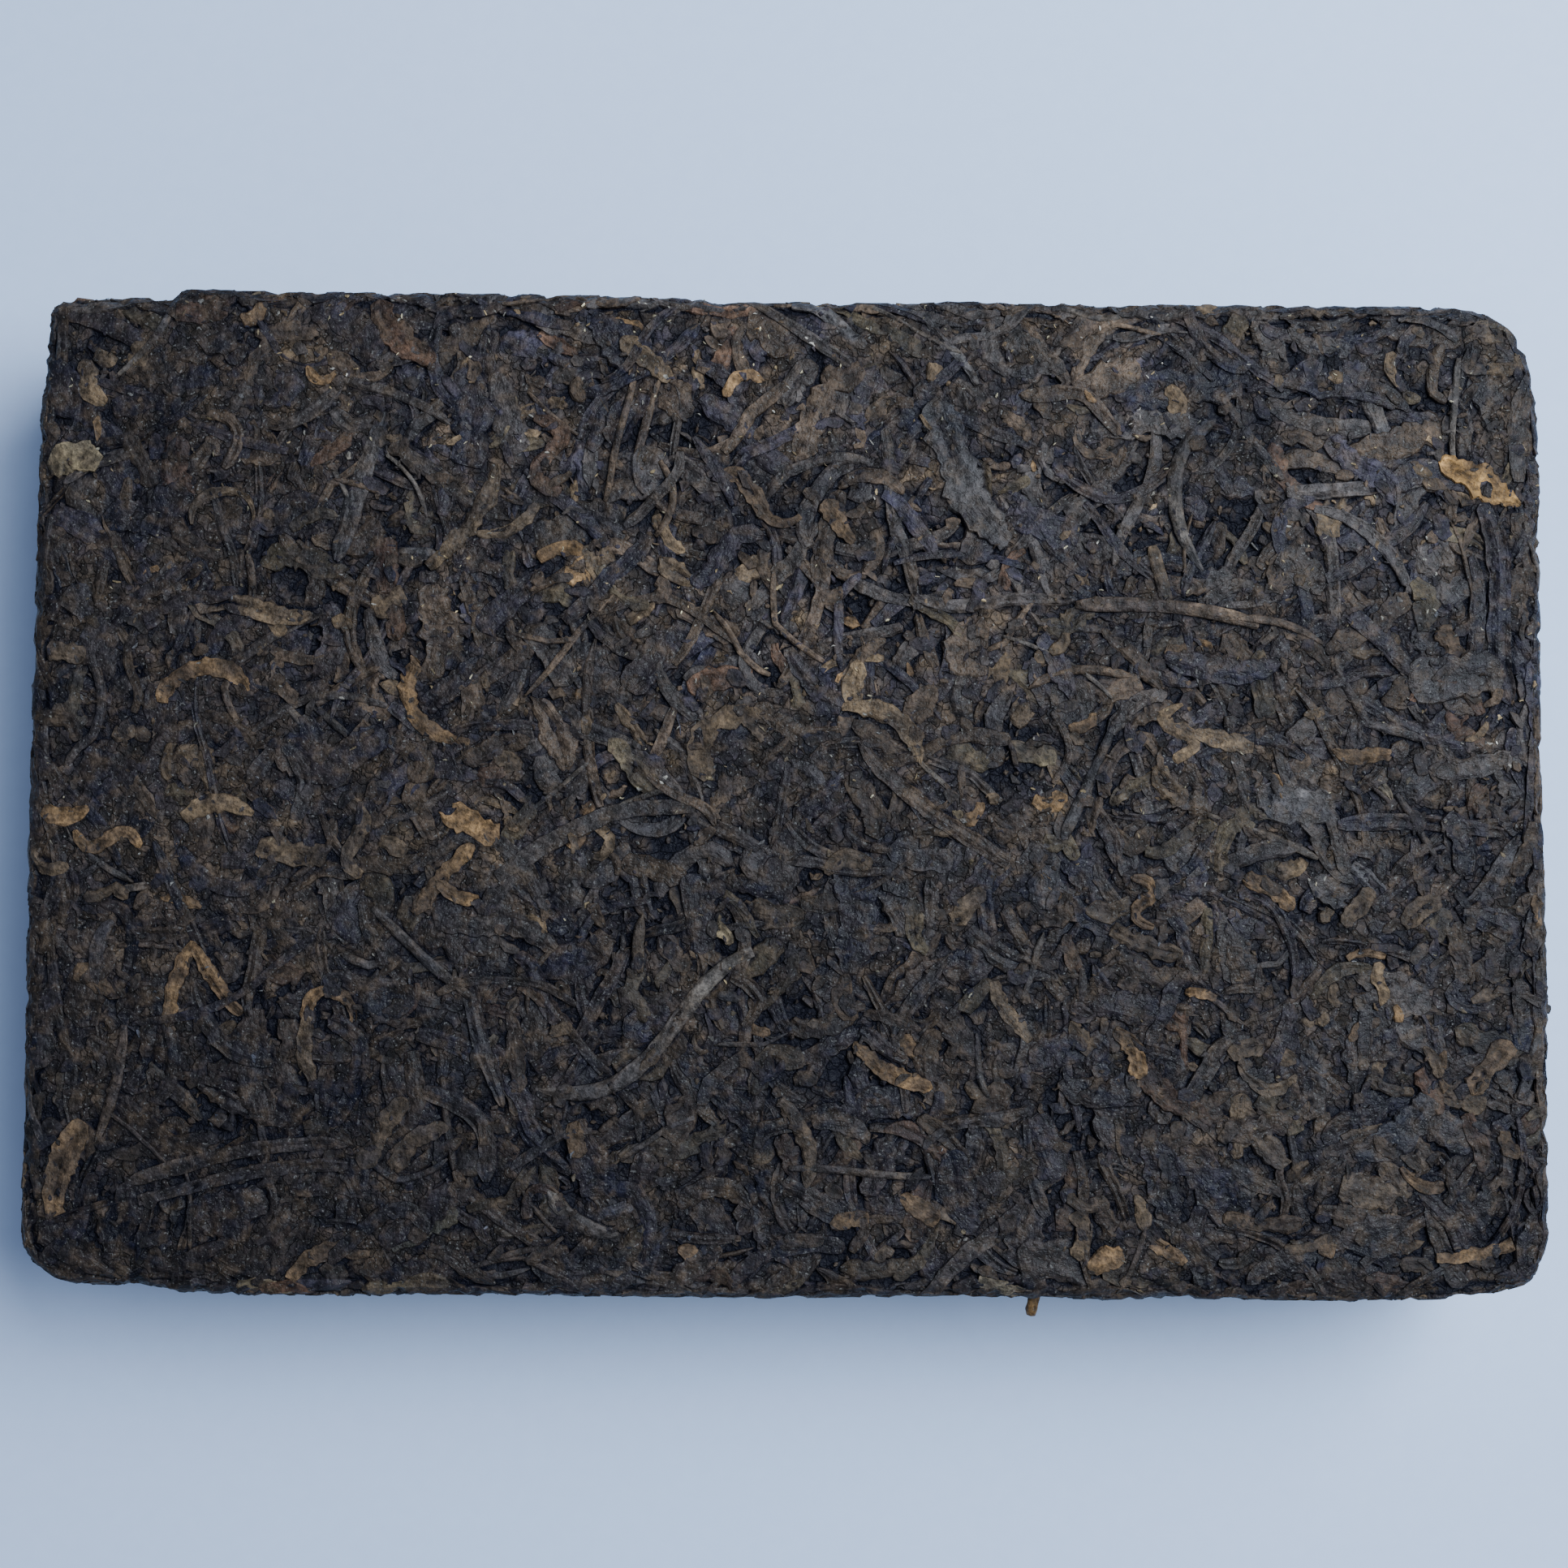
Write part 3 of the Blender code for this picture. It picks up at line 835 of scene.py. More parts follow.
# The leaves that stand out on the top face: kind, colour, width, and points along the leaf as
# (distance from the left side, distance from the back side).
FLAT, ROLLED, BROWN, TIP, STEM, CRUMB = list(KINDS)[:6]
STANDING_OUT = (
    (TIP, PALE_GOLD, 3.4, ((1.8, 18.8), (4.0, 17.6), (6.4, 18.2))),
    (BROWN, TAN, 1.0, ((15.6, 24.0), (17.0, 21.2), (20.0, 20.8), (21.6, 23.6))),
    (TIP, GOLD, 1.1, ((26.6, 8.2), (28.0, 9.6), (29.4, 8.6))),
    (FLAT, BLUE_BLACK, 4.2, ((42.3, 8.4), (42.8, 13.0), (42.2, 17.8))),
    (ROLLED, LEAF_GREY, 1.9, ((34.2, 12.6), (32.6, 18.0), (31.2, 22.5), (29.8, 27.4))),
    (BROWN, TAN, 2.0, ((45.4, 17.6), (44.0, 22.0), (41.4, 25.4), (38.8, 28.0))),
    (BROWN, TAN, 1.3, ((43.6, 24.6), (46.4, 24.4), (49.4, 21.6))),
    (BROWN, RUST_BROWN, 1.7, ((49.0, 13.0), (51.4, 15.4), (49.4, 17.8), (51.6, 20.4))),
    (BROWN, TAN, 2.2, ((57.6, 4.8), (60.0, 6.8), (62.4, 9.0))),
    (TIP, GOLD, 1.9, ((67.6, 18.4), (70.4, 19.8), (72.0, 22.4), (75.4, 22.6))),
    (TIP, GOLD, 2.2, ((78.0, 21.0), (79.2, 23.2), (80.6, 25.0))),
    (BROWN, TAN, 2.0, ((61.6, 26.8), (63.0, 28.0), (65.2, 29.2))),
    (FLAT, LEAF_GREY, 4.4, ((89.0, 10.8), (90.2, 16.0), (92.4, 20.6), (96.0, 24.8))),
    (STEM, STEM_GREY, 1.7, ((116.8, 12.2), (112.8, 17.6), (113.2, 23.0), (115.4, 27.4))),
    (STEM, TAN, 1.6, ((110.4, 25.0), (111.2, 28.0), (112.0, 31.0))),
    (STEM, STEM_BROWN, 1.6, ((102.8, 31.0), (109.0, 30.9), (116.0, 31.5), (121.0, 32.8))),
    (STEM, STEM_BROWN, 1.0, ((119.0, 32.2), (123.4, 32.6), (127.4, 34.6))),
    (TIP, AMBER, 3.6, ((139.6, 16.0), (143.2, 18.0), (147.4, 20.4))),
    (ROLLED, BLACK_BROWN, 2.7, ((143.6, 20.6), (145.2, 26.0), (145.0, 33.0), (146.2, 40.4))),
    (TIP, GOLD, 2.2, ((139.2, 33.0), (140.4, 34.6), (140.8, 36.6))),
    (BROWN, TAN, 1.9, ((16.4, 32.4), (20.0, 31.8), (24.0, 33.0), (27.4, 32.8))),
    (TIP, GOLD, 1.7, ((13.2, 41.6), (14.8, 38.8), (18.0, 38.0), (21.4, 40.4))),
    (TIP, TAN, 2.3, ((2.0, 37.0), (3.6, 36.8), (5.4, 37.2))),
    (TIP, GOLD, 1.9, ((37.8, 37.6), (37.0, 40.6), (38.6, 43.4), (43.0, 45.0))),
    (TIP, TAN, 2.4, ((66.6, 48.4), (65.8, 44.8), (68.6, 42.4), (72.4, 44.6))),
    (BROWN, TAN, 2.1, ((79.6, 41.4), (83.6, 41.8), (86.4, 44.0), (87.0, 47.6))),
    (TIP, TAN, 1.9, ((113.4, 40.8), (111.8, 42.6), (114.4, 44.0), (112.6, 46.2))),
    (BROWN, TAN, 2.3, ((114.8, 43.6), (117.4, 44.4), (120.4, 45.0))),
    (TIP, GOLD, 1.7, ((128.4, 45.2), (131.0, 45.8), (134.2, 45.4))),
    (STEM, LEAF_GREY, 1.4, ((106.6, 42.8), (104.4, 48.0), (101.4, 54.2))),
    (BROWN, EARTH_BROWN, 1.6, ((106.0, 50.0), (106.6, 46.0), (109.4, 44.2), (110.8, 46.2))),
    (TIP, GOLD, 1.6, ((1.8, 52.2), (4.0, 52.8), (6.2, 52.0))),
    (TIP, GOLD, 1.5, ((5.0, 54.2), (7.0, 55.6), (9.0, 54.4), (11.2, 55.6))),
    (TIP, TAN, 1.3, ((1.0, 56.0), (2.2, 57.8), (4.4, 57.6))),
    (TIP, TAN, 1.7, ((15.4, 52.8), (18.6, 51.4), (22.2, 52.4))),
    (TIP, TAN, 1.5, ((31.4, 51.0), (32.8, 53.4), (31.6, 56.0), (32.6, 58.4))),
    (TIP, GOLD, 2.6, ((40.4, 52.0), (43.0, 53.0), (45.8, 54.6))),
    (TIP, GOLD, 1.6, ((43.6, 55.4), (40.6, 58.6), (38.0, 62.0))),
    (TIP, GOLD, 1.4, ((40.2, 58.8), (42.4, 60.4), (44.2, 60.6))),
    (TIP, TAN, 2.5, ((22.8, 55.4), (26.0, 56.2), (29.2, 56.4))),
    (STEM, STEM_GREY, 1.2, ((34.0, 61.5), (38.6, 66.0), (43.5, 70.0))),
    (TIP, GOLD, 1.5, ((16.8, 65.0), (15.0, 69.0), (14.4, 73.0))),
    (TIP, GOLD, 1.4, ((16.8, 65.4), (19.0, 69.0), (21.4, 71.8))),
    (TIP, GOLD, 1.3, ((28.0, 73.2), (29.6, 69.6), (30.8, 69.8), (32.2, 72.8))),
    (BROWN, TAN, 1.8, ((28.0, 72.0), (27.6, 75.0), (28.4, 78.2))),
    (STEM, TAN, 1.3, ((60.2, 62.0), (59.8, 64.8), (60.0, 67.6))),
    (TIP, GOLD, 2.1, ((81.2, 74.4), (84.2, 77.2), (88.4, 78.6))),
    (BROWN, TAN, 1.7, ((73.8, 80.0), (76.0, 83.0), (76.4, 88.2))),
    (STEM, STEM_GREY, 1.8, ((71.0, 65.4), (66.2, 69.0), (62.0, 74.6), (50.0, 79.0))),
    (STEM, STEM_BROWN, 1.3, ((10.2, 73.0), (9.6, 78.0), (7.8, 84.2))),
    (TIP, GOLD, 2.6, ((6.6, 82.4), (4.6, 86.0), (4.0, 91.0))),
    (ROLLED, GREY_BROWN, 1.6, ((11.0, 88.0), (18.0, 86.0), (25.0, 84.6), (32.0, 84.4))),
    (ROLLED, GREY_BROWN, 1.5, ((12.0, 89.8), (19.0, 88.0), (26.0, 86.6), (32.0, 86.4))),
    (TIP, TAN, 2.1, ((33.4, 86.6), (35.6, 82.6), (37.4, 80.0))),
    (TIP, TAN, 2.0, ((36.4, 86.8), (39.0, 83.6), (41.4, 82.8))),
    (BROWN, PALE_OLIVE, 3.3, ((36.0, 93.8), (39.0, 92.0), (42.4, 90.8))),
    (TIP, GOLD, 1.9, ((26.8, 97.4), (29.6, 94.8), (34.2, 94.8))),
    (STEM, STEM_GREY, 1.7, ((51.4, 88.8), (54.0, 91.6), (58.2, 93.0))),
    (TIP, GOLD, 1.5, ((64.2, 94.2), (65.0, 94.6), (65.9, 94.8))),
    (TIP, TAN, 1.7, ((108.6, 89.0), (109.2, 90.6), (109.6, 92.4))),
    (STEM, STEM_BROWN, 0.6, ((109.6, 92.0), (108.4, 95.6), (106.8, 98.8))),
    (TIP, GOLD, 1.8, ((117.4, 91.0), (121.0, 91.8), (125.2, 91.4))),
    (TIP, GOLD, 2.7, ((142.0, 79.0), (143.6, 76.4), (145.8, 74.0))),
    (STEM, STEM_GREY, 1.4, ((146.6, 79.4), (147.8, 76.4), (148.6, 73.0))),
    (TIP, GOLD, 1.5, ((108.4, 58.0), (110.2, 59.6), (108.8, 61.2), (110.4, 62.8))),
    (TIP, TAN, 2.3, ((106.4, 63.0), (109.6, 64.6), (113.2, 65.4))),
    (TIP, GOLD, 2.1, ((119.4, 58.0), (121.8, 59.0), (124.2, 60.8))),
    (BROWN, TAN, 2.2, ((132.0, 84.0), (133.6, 86.4), (135.2, 89.2))),
    (TIP, GOLD, 1.7, ((148.4, 59.6), (148.9, 61.0), (148.6, 62.6))),
    (FLAT, BLUE_BLACK, 2.8, ((139.6, 51.6), (141.2, 54.0), (141.0, 57.4))),
    (FLAT, BLUE_BLACK, 3.2, ((141.2, 61.4), (143.8, 62.0), (146.8, 63.6))),
    (FLAT, BLUE_BLACK, 3.0, ((104.6, 70.0), (108.0, 70.6), (111.4, 71.6))),
    (FLAT, BLUE_BLACK, 3.6, ((110.0, 83.6), (111.2, 87.2), (112.0, 91.0))),
    (BROWN, TAN, 2.8, ((110.6, 47.2), (112.0, 48.9), (113.4, 50.4))),
    (TIP, GOLD, 1.6, ((122.2, 47.6), (122.8, 48.8), (123.2, 50.0))),
    (TIP, TAN, 2.2, ((129.2, 62.4), (130.8, 60.8), (132.2, 59.0))),
    (TIP, TAN, 2.0, ((135.6, 62.6), (136.8, 61.0), (139.0, 60.2))),
    (TIP, GOLD, 1.0, ((129.6, 65.8), (131.2, 65.2), (133.4, 65.6))),
    (TIP, GOLD, 1.2, ((113.6, 69.2), (115.2, 69.4), (116.6, 69.8))),
    (TIP, GOLD, 1.9, ((106.6, 73.0), (108.2, 74.2), (108.6, 77.6))),
    (TIP, TAN, 1.9, ((118.0, 75.4), (119.6, 74.6), (121.2, 74.4))),
    (TIP, TAN, 1.1, ((137.2, 74.4), (138.2, 75.8), (138.6, 77.4))),
    (BROWN, TAN, 1.3, ((131.6, 77.4), (133.8, 78.6), (136.0, 78.8))),
    (BROWN, RUST_BROWN, 2.2, ((136.8, 76.6), (137.8, 78.6), (138.6, 81.0))),
    (BROWN, TAN, 3.0, ((134.6, 82.4), (136.0, 84.2), (138.0, 86.0))),
    (TIP, GOLD, 1.3, ((134.8, 86.2), (136.6, 87.8), (139.0, 88.0))),
    (BROWN, TAN, 3.4, ((128.8, 88.0), (131.6, 88.6), (134.4, 88.8))),
    (TIP, TAN, 1.2, ((123.2, 94.2), (125.6, 93.8), (127.8, 93.0))),
    (TIP, GOLD, 1.6, ((138.2, 95.0), (142.0, 94.6), (145.8, 93.6))),
    (TIP, GOLD, 1.6, ((109.8, 93.4), (111.6, 94.2), (113.4, 95.6))),
    (TIP, GOLD, 2.4, ((104.4, 96.4), (105.8, 95.2), (107.4, 95.0))),
    (CRUMB, SHELL_WHITE, 0.9, ((93.4, 54.7), (94.0, 55.0), (94.6, 55.2))),
)
STANDING_THICKER = 0.1
STANDING_LIGHTER = 1.15
# the face's tone holds painted light and shade as well as dust
STANDING_TONED = 0.45  # how much of the face's tone they take

# Two stems that stand out of the sides: the plan place of the outer end, the direction it
# points in, in degrees, and its colour. The rest are as in the CAD model.
STANDING_STEMS = ((23.8, -51.6, -96.0, AMBER), (76.0, -21.2, -14.0, STEM_GREY))
STEM_LENGTH = 8.0
STEM_DIAMETER = 1.3
STEM_HEIGHT = 18.6
STEM_SWAY = 0.15
STEM_RIBS = (0.84, 0.98)  # the least and the most of its radius
STEM_ENDS = ((0.6,), (0.72,))  # how much of that is left at its inner and its outer end


def through(points, step):
    """A smooth line through a few points, at even steps of its parameter."""
    points = np.array(points) * (1, -1) + (-LENGTH / 2, WIDTH / 2)
    at = np.concatenate([[0.0], np.cumsum(np.hypot(*np.diff(points, axis=0).T))])
    stations = np.linspace(0, at[-1], max(4, round(at[-1] / step) + 1))
    bend = [np.polyfit(at, column, len(points) - 1) for column in points.T]
    return np.stack([np.polyval(row, stations) for row in bend], axis=-1)


def lay_standing_out(bed, rng):
    for name, colour, width, points in STANDING_OUT:
        thickness = KINDS[name].thickness[1] + STANDING_THICKER
        line = through(points, KINDS[name].step)
        colour = STANDING_LIGHTER * np.array(colour)
        lay(bed, rng, name, line, width, thickness, colour, STANDING_TONED)


def lay_pale_specks(bed, rng):
    """Tiny pale specks, most of them on the back half of the top face."""
    kind = KINDS["pale_specks"]
    for _ in range(PALE_SPECKS):
        x = rng.uniform(-LENGTH / 2, LENGTH / 2)
        y = WIDTH * (0.5 - rng.beta(1.0, 2.6))
        length, width = rng.uniform(*kind.length), rng.uniform(*kind.width)
        line = wandering_line(rng, kind, 1.0, length, x, y, rng.uniform(*ANY_TURN))
        thickness = rng.uniform(*kind.thickness)
        lay(bed, rng, "pale_specks", line, width, thickness, pick(rng, kind.colours))


def standing_stems(heap, rng):
    """Round ribbed stems that lie level and stand out of the sides."""
    stations, ring = 14, 9
    along = np.linspace(0, STEM_LENGTH, stations + 2)
    round_it = np.linspace(0, np.pi * STEM_DIAMETER, ring + 1)
    faces, patch = ring_faces(stations, ring, along, round_it)
    turn = np.linspace(0, 2 * np.pi, ring, endpoint=False)
    for x, y, heading, colour in STANDING_STEMS:
        out = np.array([np.cos(np.radians(heading)), np.sin(np.radians(heading))])
        back = np.linspace(STEM_LENGTH, 0.12, stations)[:, None]
        sway = STEM_SWAY * slow_noise(rng, stations, 5)[:, None] * np.minimum(back, 1)
        radius = STEM_DIAMETER / 2 * rng.uniform(*STEM_RIBS, (stations, ring))
        radius[[0, -1]] *= STEM_ENDS
        across = sway + radius * np.cos(turn)
        points = np.stack([x - out[0] * back - out[1] * across, y - out[1] * back + out[0] * across,
                           STEM_HEIGHT + radius * np.sin(turn)], axis=-1).reshape(-1, 3)
        ends = [(x - out[0] * b, y - out[1] * b, STEM_HEIGHT) for b in (STEM_LENGTH, 0.02)]
        grain = np.stack(np.broadcast_arrays(back, turn[None] * 0.6, 3.0), axis=-1).reshape(-1, 3)
        points, grain = np.concatenate([points, ends]), np.concatenate([grain, grain[[0, -1]]])
        shade = np.tile(colour, (len(points), 1))
        heap.add(points, faces, patch, shade, np.zeros(len(points)), grain, False)


# ---------------------------------------------------------------- the core

CORE_CELL = 0.7
CORE_SHAKE = 0.32  # how far its inner points are moved, in cells
SEAM_DEPTH = -0.4  # where the core's faces meet its walls
WALL_STRIPS = 3  # the walls lie on the map in so many strips


def inside_plan(along, across):
    """Plan points of a square grid, from -1 to 1, fitted into the outline of the top face."""
    half_x = LENGTH / 2 - SIDE_SKIN_DEPTH - EDGE_ROUNDING
    half_y = WIDTH / 2 - SIDE_SKIN_DEPTH - EDGE_ROUNDING
    x, y = along * half_x, across * half_y
    for (side_x, side_y), radius in CORNER_RADII.items():
        reach = radius - EDGE_ROUNDING
        a, b = side_x * x - (half_x - reach), side_y * y - (half_y - reach)
        corner = (a > 0) & (b > 0)
        a, b = np.where(corner, a, 1.0), np.where(corner, b, 1.0)
        pull = np.maximum(a, b) / np.hypot(a, b)
        x = np.where(corner, side_x * (half_x - reach + a * pull), x)
        y = np.where(corner, side_y * (half_y - reach + b * pull), y)
    return x, y


def mass_colour(bed, x, y):
    at = bed.read(bed.shade, x, y) * (len(MASS_MIX) - 1)
    shade = [np.interp(at, np.arange(len(MASS_MIX)), column) for column in zip(*MASS_MIX)]
    return np.stack(shade, axis=-1) * bed.lightness(x, y)


def shaken_grid(rng):
    """The core's face: its points, its quads, and the points round its border, counter-
    clockwise."""
    columns, rows = round(LENGTH / CORE_CELL), round(WIDTH / CORE_CELL)
    along, across = np.meshgrid(np.linspace(-1, 1, columns), np.linspace(-1, 1, rows))
    inner = (slice(1, -1), slice(1, -1))
    shift = rng.uniform(-CORE_SHAKE, CORE_SHAKE, (2, rows - 2, columns - 2))
    along[inner] += shift[0] * 2 / columns
    across[inner] += shift[1] * 2 / rows
    x, y = (part.ravel() for part in inside_plan(along, across))
    number = np.arange(rows * columns).reshape(rows, columns)
    cell = np.stack([number[:-1, :-1], number[:-1, 1:], number[1:, 1:], number[1:, :-1]], axis=-1)
    border = np.concatenate([number[0, :-1], number[:-1, -1], number[-1, :0:-1], number[:0:-1, 0]])
    return x, y, cell.reshape(-1, 4), border


def wall_map(rings, around):
    """Where the walls' faces lie on the map, in cells: in strips, one beside the other."""
    down_at = np.arange(rings - 1)[:, None, None] + np.array([0, 1, 1, 0])
    round_at = np.arange(around)[None, :, None] + np.array([0, 0, 1, 1])
    strip = np.arange(around) // (around // WALL_STRIPS + 1)
    first = np.array([np.argmax(strip == number) for number in range(WALL_STRIPS)])
    round_at = round_at - first[strip][None, :, None]
    down_at = down_at + strip[None, :, None] * (rings + 1)
    return np.stack(np.broadcast_arrays(down_at, round_at), axis=-1).reshape(-1, 4, 2)


def core_heap(top_bed, under_bed, side_bed, rng):
    """The crumbled leaf that fills the brick, closed: two faces, and rows down the side from
    the border of one to the border of the other."""
    x, y, cell, border = shaken_grid(rng)
    depth, out_x, out_y = outline_at(x[border], y[border])
    line_x, line_y = x[border] + out_x * depth, y[border] + out_y * depth
    start = EDGE_ROUNDING - depth

    parts, shades = [], []
    for bed, here in ((top_bed, start), (under_bed, DOWN_THE_SIDE - start)):
        height = bed.read(bed.mass, x, y)
        points = bed.place(x, y, height)
        height[border] = SEAM_DEPTH
        points[border] = wrap(line_x, line_y, out_x, out_y, here, height[border])
        shades.append(mass_colour(bed, x, y))
        parts.append((points, height - bed.read(bed.around, x, y)))
    step = np.hypot(*np.diff(np.stack([line_x, line_y]), axis=1, append=[[line_x[0]], [line_y[0]]]))
    travelled = np.concatenate([[0.0], np.cumsum(step)[:-1]]) * PERIMETER / step.sum()
    for share in np.linspace(0, 1, round(DOWN_THE_SIDE / CORE_CELL) + 1)[1:-1]:
        down = start + share * (DOWN_THE_SIDE - 2 * start)
        height = side_bed.read(side_bed.mass, travelled, down)
        relief = height - side_bed.read(side_bed.around, travelled, down)
        shades.append(mass_colour(side_bed, travelled, down))
        parts.append((wrap(line_x, line_y, out_x, out_y, down, height), relief))
    points, relief = (np.concatenate(column) for column in zip(*parts))

    ring_at = 2 * len(x) + np.arange((len(parts) - 2) * len(border)).reshape(-1, len(border))
    rings = np.concatenate([border[None], ring_at, border[None] + len(x)])
    after = np.roll(rings, -1, axis=1)
    wall = np.stack([rings[:-1], rings[1:], after[1:], after[:-1]], axis=-1).reshape(-1, 4)
    flat = np.stack([x + LENGTH / 2, y + WIDTH / 2], axis=-1)
    no_tris = np.zeros((0, 3), int), np.zeros((0, 3, 2))
    heap = Heap()
    quads = np.concatenate([cell, cell[:, ::-1] + len(x), wall])
    patch = np.concatenate([flat[cell], flat[cell[:, ::-1]] + (0, WIDTH + 1),
                            wall_map(*rings.shape) * CORE_CELL + (LENGTH + 1, 0)])
    heap.add(points, (quads, no_tris[0]), (patch, no_tris[1]), np.concatenate(shades), relief,
             points.copy(), False)
    return heap


# ---------------------------------------------------------------- materials

# The leaf's fine patterns: the scale, detail and roughness of a noise, and then the gain and
# the middle of its contrast. A higher middle leaves fewer spots.
PATTERNS = {
    "patch": (260.0, 3.0, 0.6, 4.0, 0.5),
    "clump": (950.0, 3.0, 0.6, 3.2, 0.5),
    "grit": (2600.0, 3.0, 0.65, 3.2, 0.5),
    "spot": (430.0, 2.0, 0.5, 5.0, 0.56),
    "stain": (500.0, 2.0, 0.55, 6.0, 0.57),
    "speckle": (3300.0, 1.0, 0.5, 14.0, 0.7),
}
REGION_BROWN, REGION_SHARE = (0.034, 0.0238, 0.0168), 0.46
SPOT_DARK, SPOT_SHARE = (0.0115, 0.0105, 0.0135), 0.5
STAIN_BROWN, STAIN_SHARE = (0.056, 0.0375, 0.022), 0.48
FRAGMENT_BROWN, FRAGMENT_SHARE = (0.060, 0.041, 0.026), 0.45
CROWN_BROWN, CROWN_SHARE = (0.05, 0.042, 0.034), 0.35
# painted shade: the bluish dark that the hollows between the leaves are darkened to
PAINTED_HOLLOW_SHADE = (0.0020, 0.0022, 0.0064)
FIBRE_STRETCH, FIBRE_GAIN = (0.3, 1.1, 1.0), 2.6
FRAGMENTS = 820.0  # the scale of the crumbled leaf's fragments
FRAGMENT_EDGE = 12.0  # how sharp their edges are
WARP_SCALE, WARP_DETAIL, WARP_REACH = 800.0, 2.0, 0.0018  # the noise that bends their edges
SPECULAR = 0.18
ROUGHNESS_SPREAD = 0.3

# How a value turns into a share or a lightness, as (gain, offset): the relief, in millimetres, for
# the first two, which lighten the crowns and paint shade into the hollows, then a fragment's random
# numbers, its edge, which paints shade into the seams, and the patterns.
CROWN_RAMP, HOLLOW_SHADE_RAMP = (3.0, -0.1), (-5.0, -0.25)
BROWN_ONES, FRAGMENT_SHADE, SEAM_PAINTED_SHADE = (4.0, -2.9), (1.1, 0.4), (0.3, 0.7)
GRIT_SHADE, CLUMP_SHADE = (0.8, 0.6), (1.1, 0.45)

# How high each pattern stands in the bump.
GRIT_HIGH, CLUMP_HIGH, FIBRE_HIGH, SEAM_HIGH, FRAGMENT_HIGH = 0.15, 0.7, 0.5, 0.5, 1.6
LEAF_RELIEF, CRUMB_RELIEF = 0.00018, 0.00024  # the bump's depth, in metres

# For each piece: its material's name, the roughness, the shares of fibres and of dust, and
# whether it is crumbled leaf.
MATERIALS = {
    "flat_leaves": ("pressed_dark_leaf", 0.5, 0.14, 0.5, False),
    "rolled_leaves": ("rolled_dark_leaf", 0.52, 0.2, 0.5, False),
    "brown_leaves": ("brown_leaf", 0.6, 0.2, 0.4, False),
    "golden_tips": ("golden_tip", 0.7, 0.25, 0.2, False),
    "leaf_stems": ("leaf_stem", 0.6, 0.35, 0.4, False),
    "leaf_crumbs": ("leaf_crumb", 0.65, 0.15, 0.4, False),
    "pale_specks": ("pale_speck", 0.6, 0.0, 0.0, False),
    "leaf_dust": ("leaf_dust", 0.65, 0.1, 0.3, False),
    "core": ("crumbled_leaf", 0.65, 0.0, 0.7, True),
}


def nodes_of(material):
    material.use_nodes = True
    tree = material.node_tree
    return tree, tree.nodes["Principled BSDF"]


def node(tree, kind, **settings):
    made = tree.nodes.new(kind)
    for key, value in settings.items():
        if key in made.inputs:
            made.inputs[key].default_value = value
        else:
            setattr(made, key, value)
    return made


def feed(tree, sockets, values):
    """Gives each socket its number, its colour or another node's output."""
    for socket, value in zip(sockets, values):
        if isinstance(value, (int, float)):
            socket.default_value = value
        elif isinstance(value, tuple):
            socket.default_value = (*value, 1.0)
        else:
            tree.links.new(value, socket)


def maths(tree, operation, *values, clamp=False):
    made = node(tree, "ShaderNodeMath", operation=operation, use_clamp=clamp)
    feed(tree, made.inputs, values)
    return made.outputs[0]


def mixed(tree, factor, first, second, blend="MIX"):
    made = node(tree, "ShaderNodeMix", data_type="RGBA", blend_type=blend)
    feed(tree, (made.inputs[0], made.inputs[6], made.inputs[7]), (factor, first, second))
    return made.outputs[2]


def painted(tree, leaf, where, share, paint):
    """A colour with a share of another laid over it where a pattern is."""
    return mixed(tree, maths(tree, "MULTIPLY", where, share), leaf, paint)


def noise(tree, vector, scale, detail=3.0, rough=0.6):
    made = node(tree, "ShaderNodeTexNoise", Scale=scale, Detail=detail, Roughness=rough)
    tree.links.new(vector, made.inputs["Vector"])
    return made.outputs["Fac"]


def contrast(tree, value, gain, middle=0.5):
    """Spreads a noise, which stays near 0.5, over 0 to 1."""
    return maths(tree, "MULTIPLY_ADD", value, gain, 0.5 - gain * middle, clamp=True)


def fragments_of(tree, place):
    """The crumbled leaf's fragments: three random numbers for each, and a pattern that is 1
    but for their edges."""
    warp = node(tree, "ShaderNodeTexNoise", Scale=WARP_SCALE, Detail=WARP_DETAIL)
    tree.links.new(place, warp.inputs["Vector"])
    moved = node(tree, "ShaderNodeVectorMath", operation="MULTIPLY_ADD")
    tree.links.new(warp.outputs["Color"], moved.inputs[0])
    moved.inputs[1].default_value = (WARP_REACH,) * 3
    tree.links.new(place, moved.inputs[2])
    cells, edges = (node(tree, "ShaderNodeTexVoronoi", feature=feature, Scale=FRAGMENTS)
                    for feature in ("F1", "DISTANCE_TO_EDGE"))
    for made in (cells, edges):
        tree.links.new(moved.outputs[0], made.inputs["Vector"])
    lot = node(tree, "ShaderNodeSeparateColor")
    tree.links.new(cells.outputs["Color"], lot.inputs[0])
    within = maths(tree, "MULTIPLY", edges.outputs["Distance"], FRAGMENT_EDGE, clamp=True)
    return lot.outputs, within


